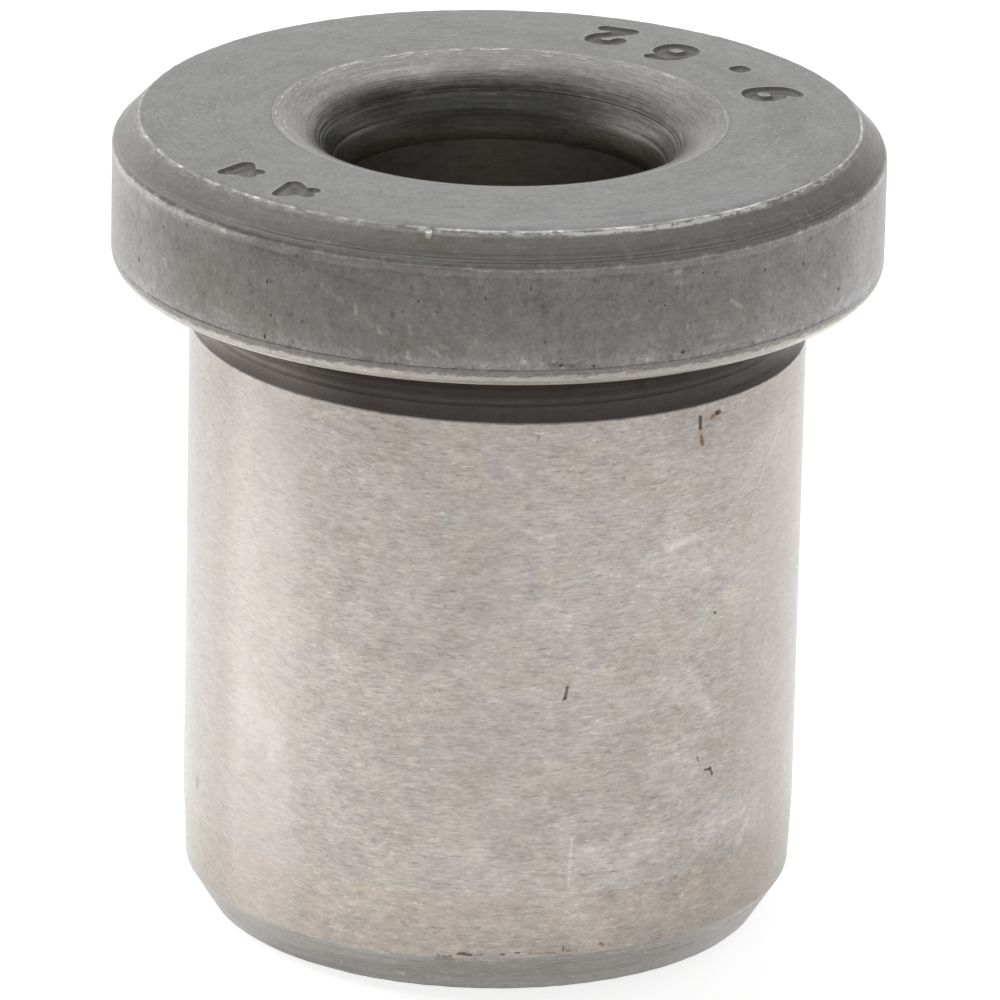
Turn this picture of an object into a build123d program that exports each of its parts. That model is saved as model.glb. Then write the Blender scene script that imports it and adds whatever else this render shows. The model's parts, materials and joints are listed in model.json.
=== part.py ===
from build123d import *
import os
from math import radians, sin, tan

# A headed press-fit drill bushing: one turned, hardened and ground steel piece.
# It stands on its foot face, the origin is at the foot's centre, and the bore runs up +Z.

# Guide bore and its mouth
bore_diameter = 6.25
entry_radius = 1.5
entry_breakout_angle = 8.6
exit_chamfer = 0.3

# Press body
body_diameter = 12.0
total_length = 16.0

# Head, which stops the bushing on the jig plate
head_diameter = 15.0
head_thickness = 3.0
head_chamfer = 0.55
head_edge_radius = 0.35

# Relief neck under the head, where the grinding wheel runs out
neck_width = 1.2
neck_depth = 0.16
neck_flank_angle = 30.0
neck_corner_radius = 0.2

# Foot, narrowed so that the body enters its hole straight
foot_chamfer_width = 0.54
foot_chamfer_height = 0.85
lead_height = 1.35
lead_depth = 0.06

# Radii of the section, from the axis outwards
bore_radius = bore_diameter / 2
body_radius = body_diameter / 2
head_radius = head_diameter / 2
neck_radius = body_radius - neck_depth
lead_radius = body_radius - lead_depth
foot_radius = lead_radius - foot_chamfer_width

# Heights of the section, from the foot face up
lead_top = foot_chamfer_height + lead_height
head_seat = total_length - head_thickness
neck_bottom = head_seat - neck_width
neck_flank_top = neck_bottom + neck_depth / tan(radians(neck_flank_angle))

# The mouth is a round that leaves the bore wall tangent to it and breaks out on the top face
entry_turn = 90 - entry_breakout_angle
bore_top = total_length - entry_radius * sin(radians(entry_turn))

with BuildPart() as bushing:
    with BuildSketch(Plane.XZ):
        with BuildLine():
            # Outside, from the foot face up to the head
            foot_face = Line((bore_radius + exit_chamfer, 0), (foot_radius, 0))
            foot_chamfer = Line(foot_face @ 1, (lead_radius, foot_chamfer_height))
            lead = Line(foot_chamfer @ 1, (body_radius, lead_top))
            ground_body = Line(lead @ 1, (body_radius, neck_bottom))
            neck_flank = Line(ground_body @ 1, (neck_radius, neck_flank_top))
            neck = Line(neck_flank @ 1, (neck_radius, head_seat - neck_corner_radius))
            neck_corner = JernArc(neck @ 1, neck % 1, neck_corner_radius, -90)
            # Head, from its underside round to the top face
            seat = Line(neck_corner @ 1, (head_radius - head_edge_radius, head_seat))
            lower_edge = JernArc(seat @ 1, seat % 1, head_edge_radius, 90)
            rim = Line(lower_edge @ 1, (head_radius, total_length - head_chamfer))
            upper_edge = Line(rim @ 1, (head_radius - head_chamfer, total_length))
            # Inside, from the bore's exit up through the rounded mouth
            bore_exit = Line(foot_face @ 0, (bore_radius, exit_chamfer))
            bore_wall = Line(bore_exit @ 1, (bore_radius, bore_top))
            entry = JernArc(bore_wall @ 1, bore_wall % 1, entry_radius, -entry_turn)
            top_face = Line(entry @ 1, upper_edge @ 1)
        make_face()
    revolve(axis=Axis.Z)

bushing.part.label = "bushing"

os.makedirs("parts", exist_ok=True)
export_step(bushing.part, "parts/bushing.step")
print(f"bushing: {bushing.part.volume:.1f} mm3, mouth diameter {2 * (entry @ 1).X:.3f} mm")
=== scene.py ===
"""Visual model of a headed drill jig bushing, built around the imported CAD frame."""
import json
import logging
import math
from dataclasses import dataclass
from enum import Enum

import bmesh
import bpy
from bmesh.types import BMEdge, BMesh, BMFace, BMVert
from bpy.types import ID, Material, Mesh, Node, NodeOutputs, NodeTree, Object, World
from bpy.types import NodeSocket as Socket
from mathutils import Matrix, Vector, noise


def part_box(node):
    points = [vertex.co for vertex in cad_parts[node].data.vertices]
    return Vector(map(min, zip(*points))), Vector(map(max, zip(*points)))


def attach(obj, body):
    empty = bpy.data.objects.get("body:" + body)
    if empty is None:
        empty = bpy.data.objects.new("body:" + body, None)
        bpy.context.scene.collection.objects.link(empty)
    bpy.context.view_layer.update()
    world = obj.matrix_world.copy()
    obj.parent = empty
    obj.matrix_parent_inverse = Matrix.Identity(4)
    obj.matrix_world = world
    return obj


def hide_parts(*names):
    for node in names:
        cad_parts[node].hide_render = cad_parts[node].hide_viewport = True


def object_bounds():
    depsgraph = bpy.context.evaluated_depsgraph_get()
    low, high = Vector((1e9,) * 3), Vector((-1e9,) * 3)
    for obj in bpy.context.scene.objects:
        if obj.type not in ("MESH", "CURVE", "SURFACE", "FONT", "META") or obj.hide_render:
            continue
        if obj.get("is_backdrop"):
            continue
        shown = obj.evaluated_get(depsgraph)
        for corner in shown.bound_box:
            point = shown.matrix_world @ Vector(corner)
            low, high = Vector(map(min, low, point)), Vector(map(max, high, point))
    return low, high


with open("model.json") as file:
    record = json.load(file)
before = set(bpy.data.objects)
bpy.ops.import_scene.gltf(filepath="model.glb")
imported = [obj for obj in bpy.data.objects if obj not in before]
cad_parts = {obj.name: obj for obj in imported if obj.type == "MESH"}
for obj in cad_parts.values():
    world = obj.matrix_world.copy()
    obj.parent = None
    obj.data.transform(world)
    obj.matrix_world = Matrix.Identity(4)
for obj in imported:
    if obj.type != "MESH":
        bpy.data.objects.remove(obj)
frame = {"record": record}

logging.basicConfig(level=logging.INFO, format="%(message)s")
LOG = logging.getLogger("bushing")

NODE = "bushing"
BODY = "root"

# Everything is modelled in millimetres and made metres at the end
METRES = 0.001
RGB = tuple[float, float, float]


class Zone(Enum):
    """Surfaces of the bushing that take a finish of their own; the value is the material slot."""

    GROUND_BODY = 0
    LEAD = 1
    FOOT_CHAMFER = 2
    FOOT_FACE = 3
    NECK = 4
    FLANK = 5
    SEAT = 6
    LOWER_ROUND = 7
    HEAD_SIDE = 8
    HEAD_CHAMFER = 9
    TOP_FACE = 10
    MOUTH = 11
    BORE = 12
    TOP_LIP = 13
    HEAD_CORNER = 14
    BODY_RIM = 15
    FOOT_RIM = 16
    WORN_EDGE = 17
    STAMP = 18
    PIT = 19
    STAMP_RIM = 20


@dataclass(frozen=True)
class Sizes:
    """Driving sizes of the bushing in millimetres, read from the frame where it states them.

    The lip's roll is how far the edge of the top face lies out and down from a sharp corner, and its
    width is how far in the face starts to fall. Wear has lowered the head's corner by its drop, more
    on one side than on the other, and the corner's turn says on which.
    """

    length: float
    head_radius: float
    body_radius: float
    bore_radius: float
    seat_height: float
    head_chamfer: float = 0.55
    head_edge_radius: float = 0.35
    lip_roll: tuple[float, float] = (0.045, 0.030)
    lip_width: float = 0.13
    corner_drop: float = 0.0325
    corner_turn: float = 20.0
    neck_width: float = 1.2
    neck_depth: float = 0.16
    neck_corner: float = 0.2
    flank_degrees: float = 30.0
    lead_depth: float = 0.06
    lead_top: float = 2.2
    foot_chamfer_width: float = 0.54
    foot_chamfer_height: float = 0.85
    exit_chamfer: float = 0.3
    mouth_radius: float = 1.5
    mouth_breakout: float = 8.6
    grind_offset: float = 0.039

    @classmethod
    def from_frame(cls) -> "Sizes":
        """Reads the outer sizes from the node's box and the fits from the record's mounts.

        Returns:
            The sizes.
        """
        low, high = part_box(NODE)
        mounts = {mount["name"]: mount for mount in frame["record"]["mounts"]}
        return cls(
            length=(high[2] - low[2]) / METRES,
            head_radius=(high[0] - low[0]) / METRES / 2,
            body_radius=mounts["press_body"]["dims"]["r_mm"],
            bore_radius=mounts["guide_bore"]["dims"]["r_mm"],
            seat_height=mounts["head_seat"]["pos_m"][2] / METRES,
        )

    @property
    def neck_radius(self) -> float:
        """Radius of the relief neck."""
        return self.body_radius - self.neck_depth

    @property
    def neck_bottom(self) -> float:
        """Height where the neck's flank meets the ground body."""
        return self.seat_height - self.neck_width

    @property
    def flank_top(self) -> float:
        """Height where the neck's flank meets its bottom."""
        return self.neck_bottom + self.neck_depth / math.tan(math.radians(self.flank_degrees))

    @property
    def lead_radius(self) -> float:
        """Radius of the lead at its foot end."""
        return self.body_radius - self.lead_depth

    @property
    def foot_radius(self) -> float:
        """Radius of the foot face."""
        return self.lead_radius - self.foot_chamfer_width

    @property
    def mouth_centre(self) -> tuple[float, float]:
        """Radius and height of the centre of the mouth's round."""
        turn = math.radians(90 - self.mouth_breakout)
        return self.bore_radius + self.mouth_radius, self.length - self.mouth_radius * math.sin(turn)

    @property
    def edge_centre(self) -> tuple[float, float]:
        """Radius and height of the centre of the head's lower round."""
        return self.head_radius - self.head_edge_radius, self.seat_height + self.head_edge_radius

    @property
    def lip(self) -> tuple[float, float]:
        """Radius and height where the top face, rolled over at its edge, meets the head's chamfer."""
        return self.head_radius - self.head_chamfer + self.lip_roll[0], self.length - self.lip_roll[1]

    @property
    def mouth_edge(self) -> float:
        """Radius where the mouth's round breaks out on the top face."""
        return self.mouth_centre[0] - self.mouth_radius * math.sin(math.radians(self.mouth_breakout))


@dataclass(frozen=True)
class Ring:
    """A turned groove, or a ridge where the depth is negative.

    The place is a share of a straight stretch, or degrees of slope on the mouth's round.
    """

    place: float
    width: float
    depth: float


class SectionPen:
    """Draws half of a turned section as a wire, in millimetres, with x as the radius."""

    def __init__(self, radius: float, height: float) -> None:
        """Puts the pen down at a radius and a height."""
        self.mesh = bmesh.new()
        self.tip = self.mesh.verts.new((radius, 0.0, height))

    def _step(self, place: Vector) -> None:
        """Draws one straight edge to a place.

        Args:
            place: where the edge ends.
        """
        made = bmesh.ops.extrude_vert_indiv(self.mesh, verts=[self.tip])
        self.tip = made["verts"][0]
        self.tip.co = place

    def line(self, radius: float, height: float, pieces: int = 1, rings: tuple[Ring, ...] = ()) -> None:
        """Draws a straight stretch with turned rings in it.

        Args:
            radius: radius at the stretch's end.
            height: height at the stretch's end.
            pieces: number of edges that a stretch without rings is divided into.
            rings: grooves and ridges, in order along the stretch.
        """
        start = self.tip.co.copy()
        end = Vector((radius, 0.0, height))
        along = (end - start).normalized()
        inward = Vector((-along.z, 0.0, along.x))
        reach = (end - start).length
        for ring in rings:
            middle = start + along * reach * ring.place
            self._step(middle - along * ring.width / 2)
            self._step(middle + inward * ring.depth)
            self._step(middle + along * ring.width / 2)
        if rings:
            self._step(end)
        else:
            for piece in range(1, pieces + 1):
                self._step(start.lerp(end, piece / pieces))

    def arc(self, radius: float, height: float, degrees: float, steps: int) -> None:
        """Draws an arc about a centre.

        Args:
            radius: radius at which the arc's centre lies.
            height: height at which the arc's centre lies.
            degrees: turn of the arc, positive from the radius towards the height.
            steps: number of edges.
        """
        made = bmesh.ops.spin(
            self.mesh, geom=[self.tip], cent=(radius, 0.0, height), axis=(0.0, -1.0, 0.0),
            angle=math.radians(degrees), steps=steps,
        )
        self.tip = next(item for item in made["geom_last"] if isinstance(item, BMVert))

    def close(self) -> None:
        """Joins the pen's tip to the first vertex, which it has come back to."""
        bmesh.ops.remove_doubles(self.mesh, verts=self.mesh.verts[:], dist=1e-6)


@dataclass(frozen=True)
class Break:
    """How wear has broken a sharp corner: the break's width, its unevenness and the zone of its faces."""

    width: float
    ragged: float
    zone: Zone


@dataclass
class BushingShape:
    """The one turned, hardened and ground piece, with its tool rings and worn edges.

    A vertex nearer to a ring than near is on it, and a face that rises less than flat is level.
    """

    sizes: Sizes
    around: int = 432
    wedges: int = 18
    slope_step: float = 4.0
    near: float = 0.0015
    flat: float = 0.003
    lip_break: Break = Break(0.030, 0.016, Zone.TOP_LIP)
    corner_break: Break = Break(0.045, 0.012, Zone.HEAD_CORNER)
    rim_break: Break = Break(0.020, 0.004, Zone.BODY_RIM)
    lead_break: Break = Break(0.020, 0.004, Zone.FOOT_RIM)
    mouth_break: Break = Break(0.020, 0.004, Zone.WORN_EDGE)
    foot_break: Break = Break(0.050, 0.012, Zone.WORN_EDGE)
    exit_break: Break = Break(0.030, 0.004, Zone.WORN_EDGE)
    ragged_seed: int = 5
    ragged_scales: tuple[float, float] = (1.1, 4.3)
    ragged_step: float = 9.0
    chamfer_rings: tuple[Ring, ...] = (Ring(0.14, 0.030, 0.0020), Ring(0.26, 0.040, 0.0020))
    foot_rings: tuple[Ring, ...] = (
        Ring(0.16, 0.05, 0.0030), Ring(0.33, 0.04, 0.0020), Ring(0.48, 0.06, 0.0035),
        Ring(0.65, 0.04, 0.0020), Ring(0.82, 0.05, 0.0025),
    )
    neck_rings: tuple[Ring, ...] = (
        Ring(0.12, 0.05, 0.006), Ring(0.34, 0.04, 0.004), Ring(0.55, 0.06, 0.006), Ring(0.8, 0.05, 0.005),
    )
    side_rings: tuple[Ring, ...] = (Ring(0.022, 0.026, 0.0040), Ring(0.888, 0.030, 0.0030))
    mouth_rings: tuple[Ring, ...] = (
        Ring(14.0, 2.0, 0.0012), Ring(20.0, 2.0, 0.0014), Ring(26.5, 2.0, 0.0018), Ring(31.5, 2.0, 0.0018),
        Ring(38.0, 1.8, 0.0016), Ring(42.0, 1.6, 0.0016), Ring(46.2, 1.8, 0.0050), Ring(50.3, 1.8, 0.0080),
        Ring(52.6, 1.2, 0.0040), Ring(55.0, 1.8, -0.0040), Ring(61.0, 1.6, 0.0012), Ring(67.3, 1.8, 0.0055),
        Ring(75.5, 1.6, 0.0012),
    )

    def section(self) -> BMesh:
        """Draws the section from the foot face up the outside, over the head and down the bore.

        Returns:
            The closed wire of the section.
        """
        s = self.sizes
        pen = SectionPen(s.bore_radius + s.exit_chamfer, 0.0)
        pen.line(s.foot_radius, 0.0, pieces=2)
        pen.line(s.lead_radius, s.foot_chamfer_height, rings=self.foot_rings)
        pen.line(s.body_radius, s.lead_top, pieces=2)
        pen.line(s.body_radius, s.neck_bottom, pieces=4)
        pen.line(s.neck_radius, s.flank_top, pieces=1)
        pen.line(s.neck_radius, s.seat_height - s.neck_corner, rings=self.neck_rings)
        pen.arc(s.neck_radius + s.neck_corner, s.seat_height - s.neck_corner, -90, 6)
        pen.line(s.head_radius - s.head_edge_radius, s.seat_height, pieces=2)
        pen.arc(*s.edge_centre, 90, 10)
        pen.line(s.head_radius, s.length - s.head_chamfer, rings=self.side_rings)
        pen.line(*s.lip, rings=self.chamfer_rings)
        pen.line(s.lip[0] - s.lip_width, s.length)
        pen.line(s.mouth_edge, s.length, pieces=3)
        self._mouth(pen)
        pen.line(s.bore_radius, s.exit_chamfer, pieces=3)
        pen.line(s.bore_radius + s.exit_chamfer, 0.0)
        pen.close()
        return pen.mesh

    def _mouth(self, pen: SectionPen) -> None:
        """Draws the mouth's round with a vertex at each side and in the middle of every ring.

        Args:
            pen: the pen, down where the round breaks out on the top face.
        """
        radius, height = self.sizes.mouth_centre
        slope = self.sizes.mouth_breakout
        middles = []
        for ring in self.mouth_rings:
            for stop in (ring.place - ring.width / 2, ring.place, ring.place + ring.width / 2):
                pen.arc(radius, height, stop - slope, math.ceil((stop - slope) / self.slope_step))
                slope = stop
                if stop == ring.place:
                    middles.append((pen.tip, ring.depth))
        pen.arc(radius, height, 90 - slope, math.ceil((90 - slope) / self.slope_step))
        for vert, depth in middles:
            arm = vert.co - Vector((radius, 0.0, height))
            vert.co -= arm.normalized() * depth

    def mesh(self) -> BMesh:
        """Spins the section, sorts the zones, grinds the body off centre and breaks the edges.

        Returns:
            The whole piece in millimetres, closed, with its faces outwards.
        """
        mesh = self.section()
        wedge = math.tau / self.wedges
        bmesh.ops.spin(mesh, geom=mesh.verts[:] + mesh.edges[:], cent=(0, 0, 0), axis=(0, 0, 1),
                       angle=wedge, steps=self.around // self.wedges)
        whole = mesh.verts[:] + mesh.edges[:] + mesh.faces[:]
        bmesh.ops.spin(mesh, geom=whole, cent=(0, 0, 0), axis=(0, 0, 1), angle=math.tau - wedge,
                       steps=self.wedges - 1, use_duplicate=True)
        bmesh.ops.remove_doubles(mesh, verts=mesh.verts[:], dist=1e-4)
        bmesh.ops.recalc_face_normals(mesh, faces=mesh.faces[:])
        for face in mesh.faces:
            face.material_index = self.zone(face).value
            face.smooth = True
        self._grind(mesh)
        self._lower_corner(mesh)
        self._break_edges(mesh)
        return mesh

    def zone(self, face: BMFace) -> Zone:
        """Names the zone that a face of the spun section lies in.

        Args:
            face: a face of the piece before its edges are broken.

        Returns:
            The face's zone.
        """
        s = self.sizes
        middle = face.calc_center_median()
        radius = math.hypot(middle.x, middle.y)
        height = middle.z
        if radius < s.mouth_edge and height > s.mouth_centre[1]:
            return Zone.MOUTH
        if radius < s.bore_radius + self.near:
            return Zone.BORE
        if height > s.length - s.lip_roll[1]:
            return Zone.TOP_FACE
        if height > s.length - s.head_chamfer:
            return Zone.HEAD_CHAMFER
        if height > s.seat_height + s.head_edge_radius:
            return Zone.HEAD_SIDE
        if height > s.seat_height + self.flat:
            return Zone.LOWER_ROUND
        if height > s.seat_height - self.flat:
            return Zone.SEAT
        if height > s.flank_top:
            return Zone.NECK
        if height > s.neck_bottom:
            return Zone.FLANK
        if height > s.lead_top:
            return Zone.GROUND_BODY
        if height > s.foot_chamfer_height:
            return Zone.LEAD
        if radius > s.foot_radius and height > self.flat:
            return Zone.FOOT_CHAMFER
        return Zone.FOOT_FACE

    def ring(self, mesh: BMesh, radius: float, height: float) -> set[BMVert]:
        """Finds the vertices that run round the piece at a corner of its section.

        Args:
            mesh: the piece.
            radius: the corner's radius.
            height: the corner's height.

        Returns:
            The ring's vertices.
        """
        return {
            vert for vert in mesh.verts
            if math.hypot(math.hypot(vert.co.x, vert.co.y) - radius, vert.co.z - height) < self.near
        }

    def _grind(self, mesh: BMesh) -> None:
        """Moves the ground body off the turned centre, so that its two ends run a little out of level.

        Args:
            mesh: the piece.
        """
        s = self.sizes
        ground = [
            vert for vert in mesh.verts
            if s.foot_chamfer_height - self.near < vert.co.z < s.neck_bottom + self.near
            and math.hypot(vert.co.x, vert.co.y) > s.lead_radius - self.near
        ]
        top_slope = -s.grind_offset / math.tan(math.radians(s.flank_degrees)) / s.body_radius
        foot_slope = s.grind_offset * s.foot_chamfer_height / s.foot_chamfer_width / s.lead_radius
        for vert in ground:
            if vert.co.z > s.neck_bottom - self.near:
                vert.co.z += top_slope * vert.co.x
            if vert.co.z < s.foot_chamfer_height + self.near:
                vert.co.z += foot_slope * vert.co.x
        bmesh.ops.translate(mesh, verts=ground, vec=(s.grind_offset, 0.0, 0.0))

    def _lower_corner(self, mesh: BMesh) -> None:
        """Lowers the head's corner unevenly, so that it runs a little out of level too.

        Args:
            mesh: the piece.
        """
        s = self.sizes
        for vert in self.ring(mesh, s.head_radius, s.length - s.head_chamfer):
            angle = math.atan2(vert.co.x, -vert.co.y) + math.radians(s.corner_turn)
            vert.co.z -= s.corner_drop * (1 + math.sin(angle))

    def _break_edges(self, mesh: BMesh) -> None:
        """Bevels the section's sharp corners, each ragged by its own amount.

        Args:
            mesh: the piece.
        """
        s = self.sizes
        noise.seed_set(self.ragged_seed)
        for radius, height, kind in (
            (*s.lip, self.lip_break), (s.mouth_edge, s.length, self.mouth_break),
            (s.foot_radius, 0.0, self.foot_break), (s.bore_radius + s.exit_chamfer, 0.0, self.exit_break),
            (s.bore_radius, s.exit_chamfer, self.exit_break),
        ):
            ring = self.ring(mesh, radius, height)
            edges = [edge for edge in mesh.edges if edge.verts[0] in ring and edge.verts[1] in ring]
            self._bevel(mesh, edges, kind, radius)
        for below, above, kind in (
            (Zone.GROUND_BODY, Zone.FLANK, self.rim_break), (Zone.LEAD, Zone.FOOT_CHAMFER, self.lead_break),
            (Zone.HEAD_SIDE, Zone.HEAD_CHAMFER, self.corner_break),
        ):
            pair = {below.value, above.value}
            edges = [edge for edge in mesh.edges
                     if {face.material_index for face in edge.link_faces} == pair]
            self._bevel(mesh, edges, kind, s.body_radius)

    def _bevel(self, mesh: BMesh, edges: list[BMEdge], kind: Break, seed: float) -> None:
        """Breaks one corner and makes the break uneven.

        Args:
            mesh: the piece.
            edges: the corner's edges.
            kind: how the corner is broken.
            seed: tells the unevenness of one corner from another's.
        """
        made = bmesh.ops.bevel(
            mesh, geom=edges, offset=kind.width, offset_type="OFFSET", segments=2, profile=0.5,
            affect="EDGES", material=-1, clamp_overlap=True,
        )
        for face in made["faces"]:
            face.material_index = kind.zone.value
            face.smooth = True
        away = Vector((0.0, 0.0, self.ragged_step * seed))
        for vert in made["verts"]:
            coarse, fine = (noise.noise_vector((vert.co + away) * scale) for scale in self.ragged_scales)
            vert.co += (coarse + fine) * kind.ragged / 2


FIGURE_WIDTH = 0.62


@dataclass(frozen=True)
class Figure:
    """One stamped figure as strokes in a box of the figures' width and a height of 1."""

    strokes: tuple[tuple[tuple[float, float], ...], ...]


POINT = Figure((((0.25, 0.44), (0.31, 0.44), (0.37, 0.44)), ((0.25, 0.54), (0.31, 0.54), (0.37, 0.54))))
TWO = Figure((((0.05, 0.74), (0.05, 1.02), (0.57, 1.04), (0.60, 0.62), (0.34, 0.42), (0.04, 0.02)),
              ((0.04, 0.0), (0.34, 0.0), (0.60, 0.0))))
FOUR = Figure((((0.44, 0.0), (0.44, 0.5), (0.44, 1.0)), ((0.44, 1.0), (0.23, 0.65), (0.02, 0.30)),
               ((0.02, 0.30), (0.32, 0.30), (0.62, 0.30))))
SIX = Figure((((0.50, 0.96), (0.16, 0.92), (0.02, 0.52), (0.04, 0.02), (0.34, -0.08), (0.62, 0.06),
               (0.62, 0.52), (0.32, 0.62), (0.06, 0.48), (0.05, 0.28)),))
NINE = Figure((tuple((FIGURE_WIDTH - across, 1 - up) for across, up in SIX.strokes[0]),))


@dataclass(frozen=True)
class Strike:
    """Where a figure is struck: its angle, radius and own turn, its height, and its width to that."""

    figure: Figure
    degrees: float
    radius: float
    turn: float = 0.0
    height: float = 0.86
    width: float = 1.16

    def place(self, across: float, up: float) -> Vector:
        """Turns a point of the figure, foot to the rim, into a place on the face.

        Args:
            across: the point's place across the figure's box.
            up: its place up the box.

        Returns:
            The place, at a height of 0.
        """
        side = (across - FIGURE_WIDTH / 2) * self.height * self.width
        spot = Vector((side, (up - 0.5) * self.height, 0.0))
        spot = Matrix.Rotation(math.radians(self.turn), 4, "Z") @ spot
        spot -= Vector((0.0, self.radius, 0.0))
        return Matrix.Rotation(math.radians(self.degrees), 4, "Z") @ spot


@dataclass
class StampedFigures:
    """Plain figures struck into the top face, with the metal that they pushed up round them."""

    top: float
    groove_radius: float = 0.190
    groove_lift: float = 0.104
    rim_radius: float = 0.30
    rim_rise: float = 0.014
    rim_sink: float = 0.022
    groove_voxel: float = 0.022
    rim_voxel: float = 0.04
    strikes: tuple[Strike, ...] = (
        Strike(NINE, 108.8, 5.60), Strike(POINT, 125.4, 5.72),
        Strike(SIX, 142.0, 5.40), Strike(TWO, 158.0, 5.72),
        Strike(FOUR, -52.8, 6.17, 57.0, 0.66, 1.56), Strike(FOUR, -38.5, 6.24, 60.0, 0.70, 1.60),
    )

    def _strokes(self, thickness: float) -> Object:
        """Makes every stroke as a round rod with round ends.

        Args:
            thickness: the rods' radius.

        Returns:
            A mesh object with all the strokes, lying on the plane of the top face's height 0.
        """
        curve = bpy.data.curves.new("strokes", "CURVE")
        curve.dimensions = "3D"
        curve.bevel_depth = thickness
        curve.bevel_resolution = 4
        curve.use_fill_caps = True
        ends = []
        for strike in self.strikes:
            for stroke in strike.figure.strokes:
                spline = curve.splines.new("NURBS")
                spline.points.add(len(stroke) - 1)
                for point, (across, up) in zip(spline.points, stroke):
                    point.co = (*strike.place(across, up), 1.0)
                spline.order_u = 3
                spline.use_endpoint_u = True
                spline.resolution_u = 8
                ends += [Vector(spline.points[0].co[:3]), Vector(spline.points[-1].co[:3])]
        holder = linked("strokes", curve)
        flat = applied(holder)
        bpy.data.objects.remove(holder)
        mesh = bmesh.new()
        mesh.from_mesh(flat)
        for end in ends:
            place = Matrix.Translation(end)
            bmesh.ops.create_icosphere(mesh, subdivisions=2, radius=thickness, matrix=place)
        return linked("strokes", filled(flat, mesh))

    def _solid(self, thickness: float, voxel: float, squash: float, lift: float) -> Object:
        """Joins the strokes into one skin and brings it to the top face.

        Args:
            thickness: the strokes' radius.
            voxel: fineness of the skin.
            squash: scale of the skin's height.
            lift: height of the strokes' middle over the top face.

        Returns:
            The joined strokes.
        """
        rods = self._strokes(thickness)
        skin = rods.modifiers.new("skin", "REMESH")
        skin.mode = "VOXEL"
        skin.voxel_size = voxel
        mesh = applied(rods)
        work = bmesh.new()
        work.from_mesh(mesh)
        for _ in range(2):
            bmesh.ops.smooth_vert(work, verts=work.verts[:], factor=0.5, use_axis_x=True, use_axis_y=True,
                                  use_axis_z=True)
        bmesh.ops.scale(work, vec=(1.0, 1.0, squash), verts=work.verts[:])
        bmesh.ops.translate(work, vec=(0.0, 0.0, self.top + lift), verts=work.verts[:])
        for face in work.faces:
            face.smooth = True
        return replaced(rods, filled(mesh, work))

    def grooves(self) -> Object:
        """Makes the tool that cuts the figures.

        Returns:
            The tool.
        """
        tool = self._solid(self.groove_radius, self.groove_voxel, 1.0, self.groove_lift)
        paint(tool, Zone.STAMP)
        return tool

    def rims(self) -> Object:
        """Makes the low swelling of pushed-up metal round the figures.

        Returns:
            The swelling.
        """
        squash = (self.rim_rise + self.rim_sink) / self.rim_radius
        swelling = self._solid(self.rim_radius, self.rim_voxel, squash, -self.rim_sink)
        paint(swelling, Zone.STAMP_RIM)
        return swelling


def linked(name: str, data: ID) -> Object:
    """Makes an object of its data and puts it in the scene.

    Args:
        name: the object's name.
        data: a mesh, curve, lamp or camera.

    Returns:
        The object.
    """
    made = bpy.data.objects.new(name, data)
    bpy.context.scene.collection.objects.link(made)
    return made


def filled(data: Mesh, mesh: BMesh) -> Mesh:
    """Puts a finished bmesh into mesh data and frees it.

    Args:
        data: the mesh data to fill.
        mesh: the finished bmesh.

    Returns:
        The mesh data.
    """
    mesh.to_mesh(data)
    mesh.free()
    return data


def applied(piece: Object) -> Mesh:
    """Gives the mesh of a piece with its modifiers applied.

    Args:
        piece: an object that is linked to the scene.

    Returns:
        A new mesh.
    """
    bpy.context.view_layer.update()
    return bpy.data.meshes.new_from_object(piece.evaluated_get(bpy.context.evaluated_depsgraph_get()))


def replaced(piece: Object, mesh: Mesh) -> Object:
    """Clears a piece's modifiers and gives it a finished mesh.

    Args:
        piece: the piece.
        mesh: its finished mesh.

    Returns:
        The piece.
    """
    piece.modifiers.clear()
    piece.data = mesh
    return piece


def paint(piece: Object, zone: Zone) -> None:
    """Puts every face of a tool in one zone."""
    for polygon in piece.data.polygons:
        polygon.material_index = zone.value


@dataclass(frozen=True)
class Pit:
    """A small pit in the head's side, with its half width and half height in millimetres."""

    degrees: float
    height: float
    half_width: float
    half_height: float
    turn: float = 0.0


PITS = (
    Pit(-35.2, 14.59, 0.024, 0.060), Pit(5.0, 15.02, 0.014, 0.055), Pit(-1.5, 14.81, 0.018, 0.050, -18.0),
    Pit(-11.2, 14.68, 0.026, 0.032), Pit(27.0, 14.83, 0.024, 0.028), Pit(42.5, 14.85, 0.026, 0.030),
    Pit(50.8, 14.72, 0.026, 0.048), Pit(31.2, 15.05, 0.022, 0.022), Pit(25.0, 14.52, 0.018, 0.026),
    Pit(-34.5, 13.94, 0.026, 0.030), Pit(60.4, 13.88, 0.040, 0.034), Pit(9.6, 13.49, 0.044, 0.034),
    Pit(14.4, 13.44, 0.030, 0.030), Pit(28.2, 13.54, 0.050, 0.036), Pit(-35.5, 13.49, 0.026, 0.050),
    Pit(-66.0, 13.93, 0.030, 0.044), Pit(7.2, 13.95, 0.018, 0.026), Pit(-58.0, 14.90, 0.028, 0.028),
    Pit(118.0, 14.40, 0.024, 0.034), Pit(163.0, 14.10, 0.030, 0.040), Pit(-131.0, 14.66, 0.022, 0.034),
    Pit(-98.0, 13.80, 0.028, 0.030), Pit(84.0, 14.20, 0.022, 0.040),
)


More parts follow.
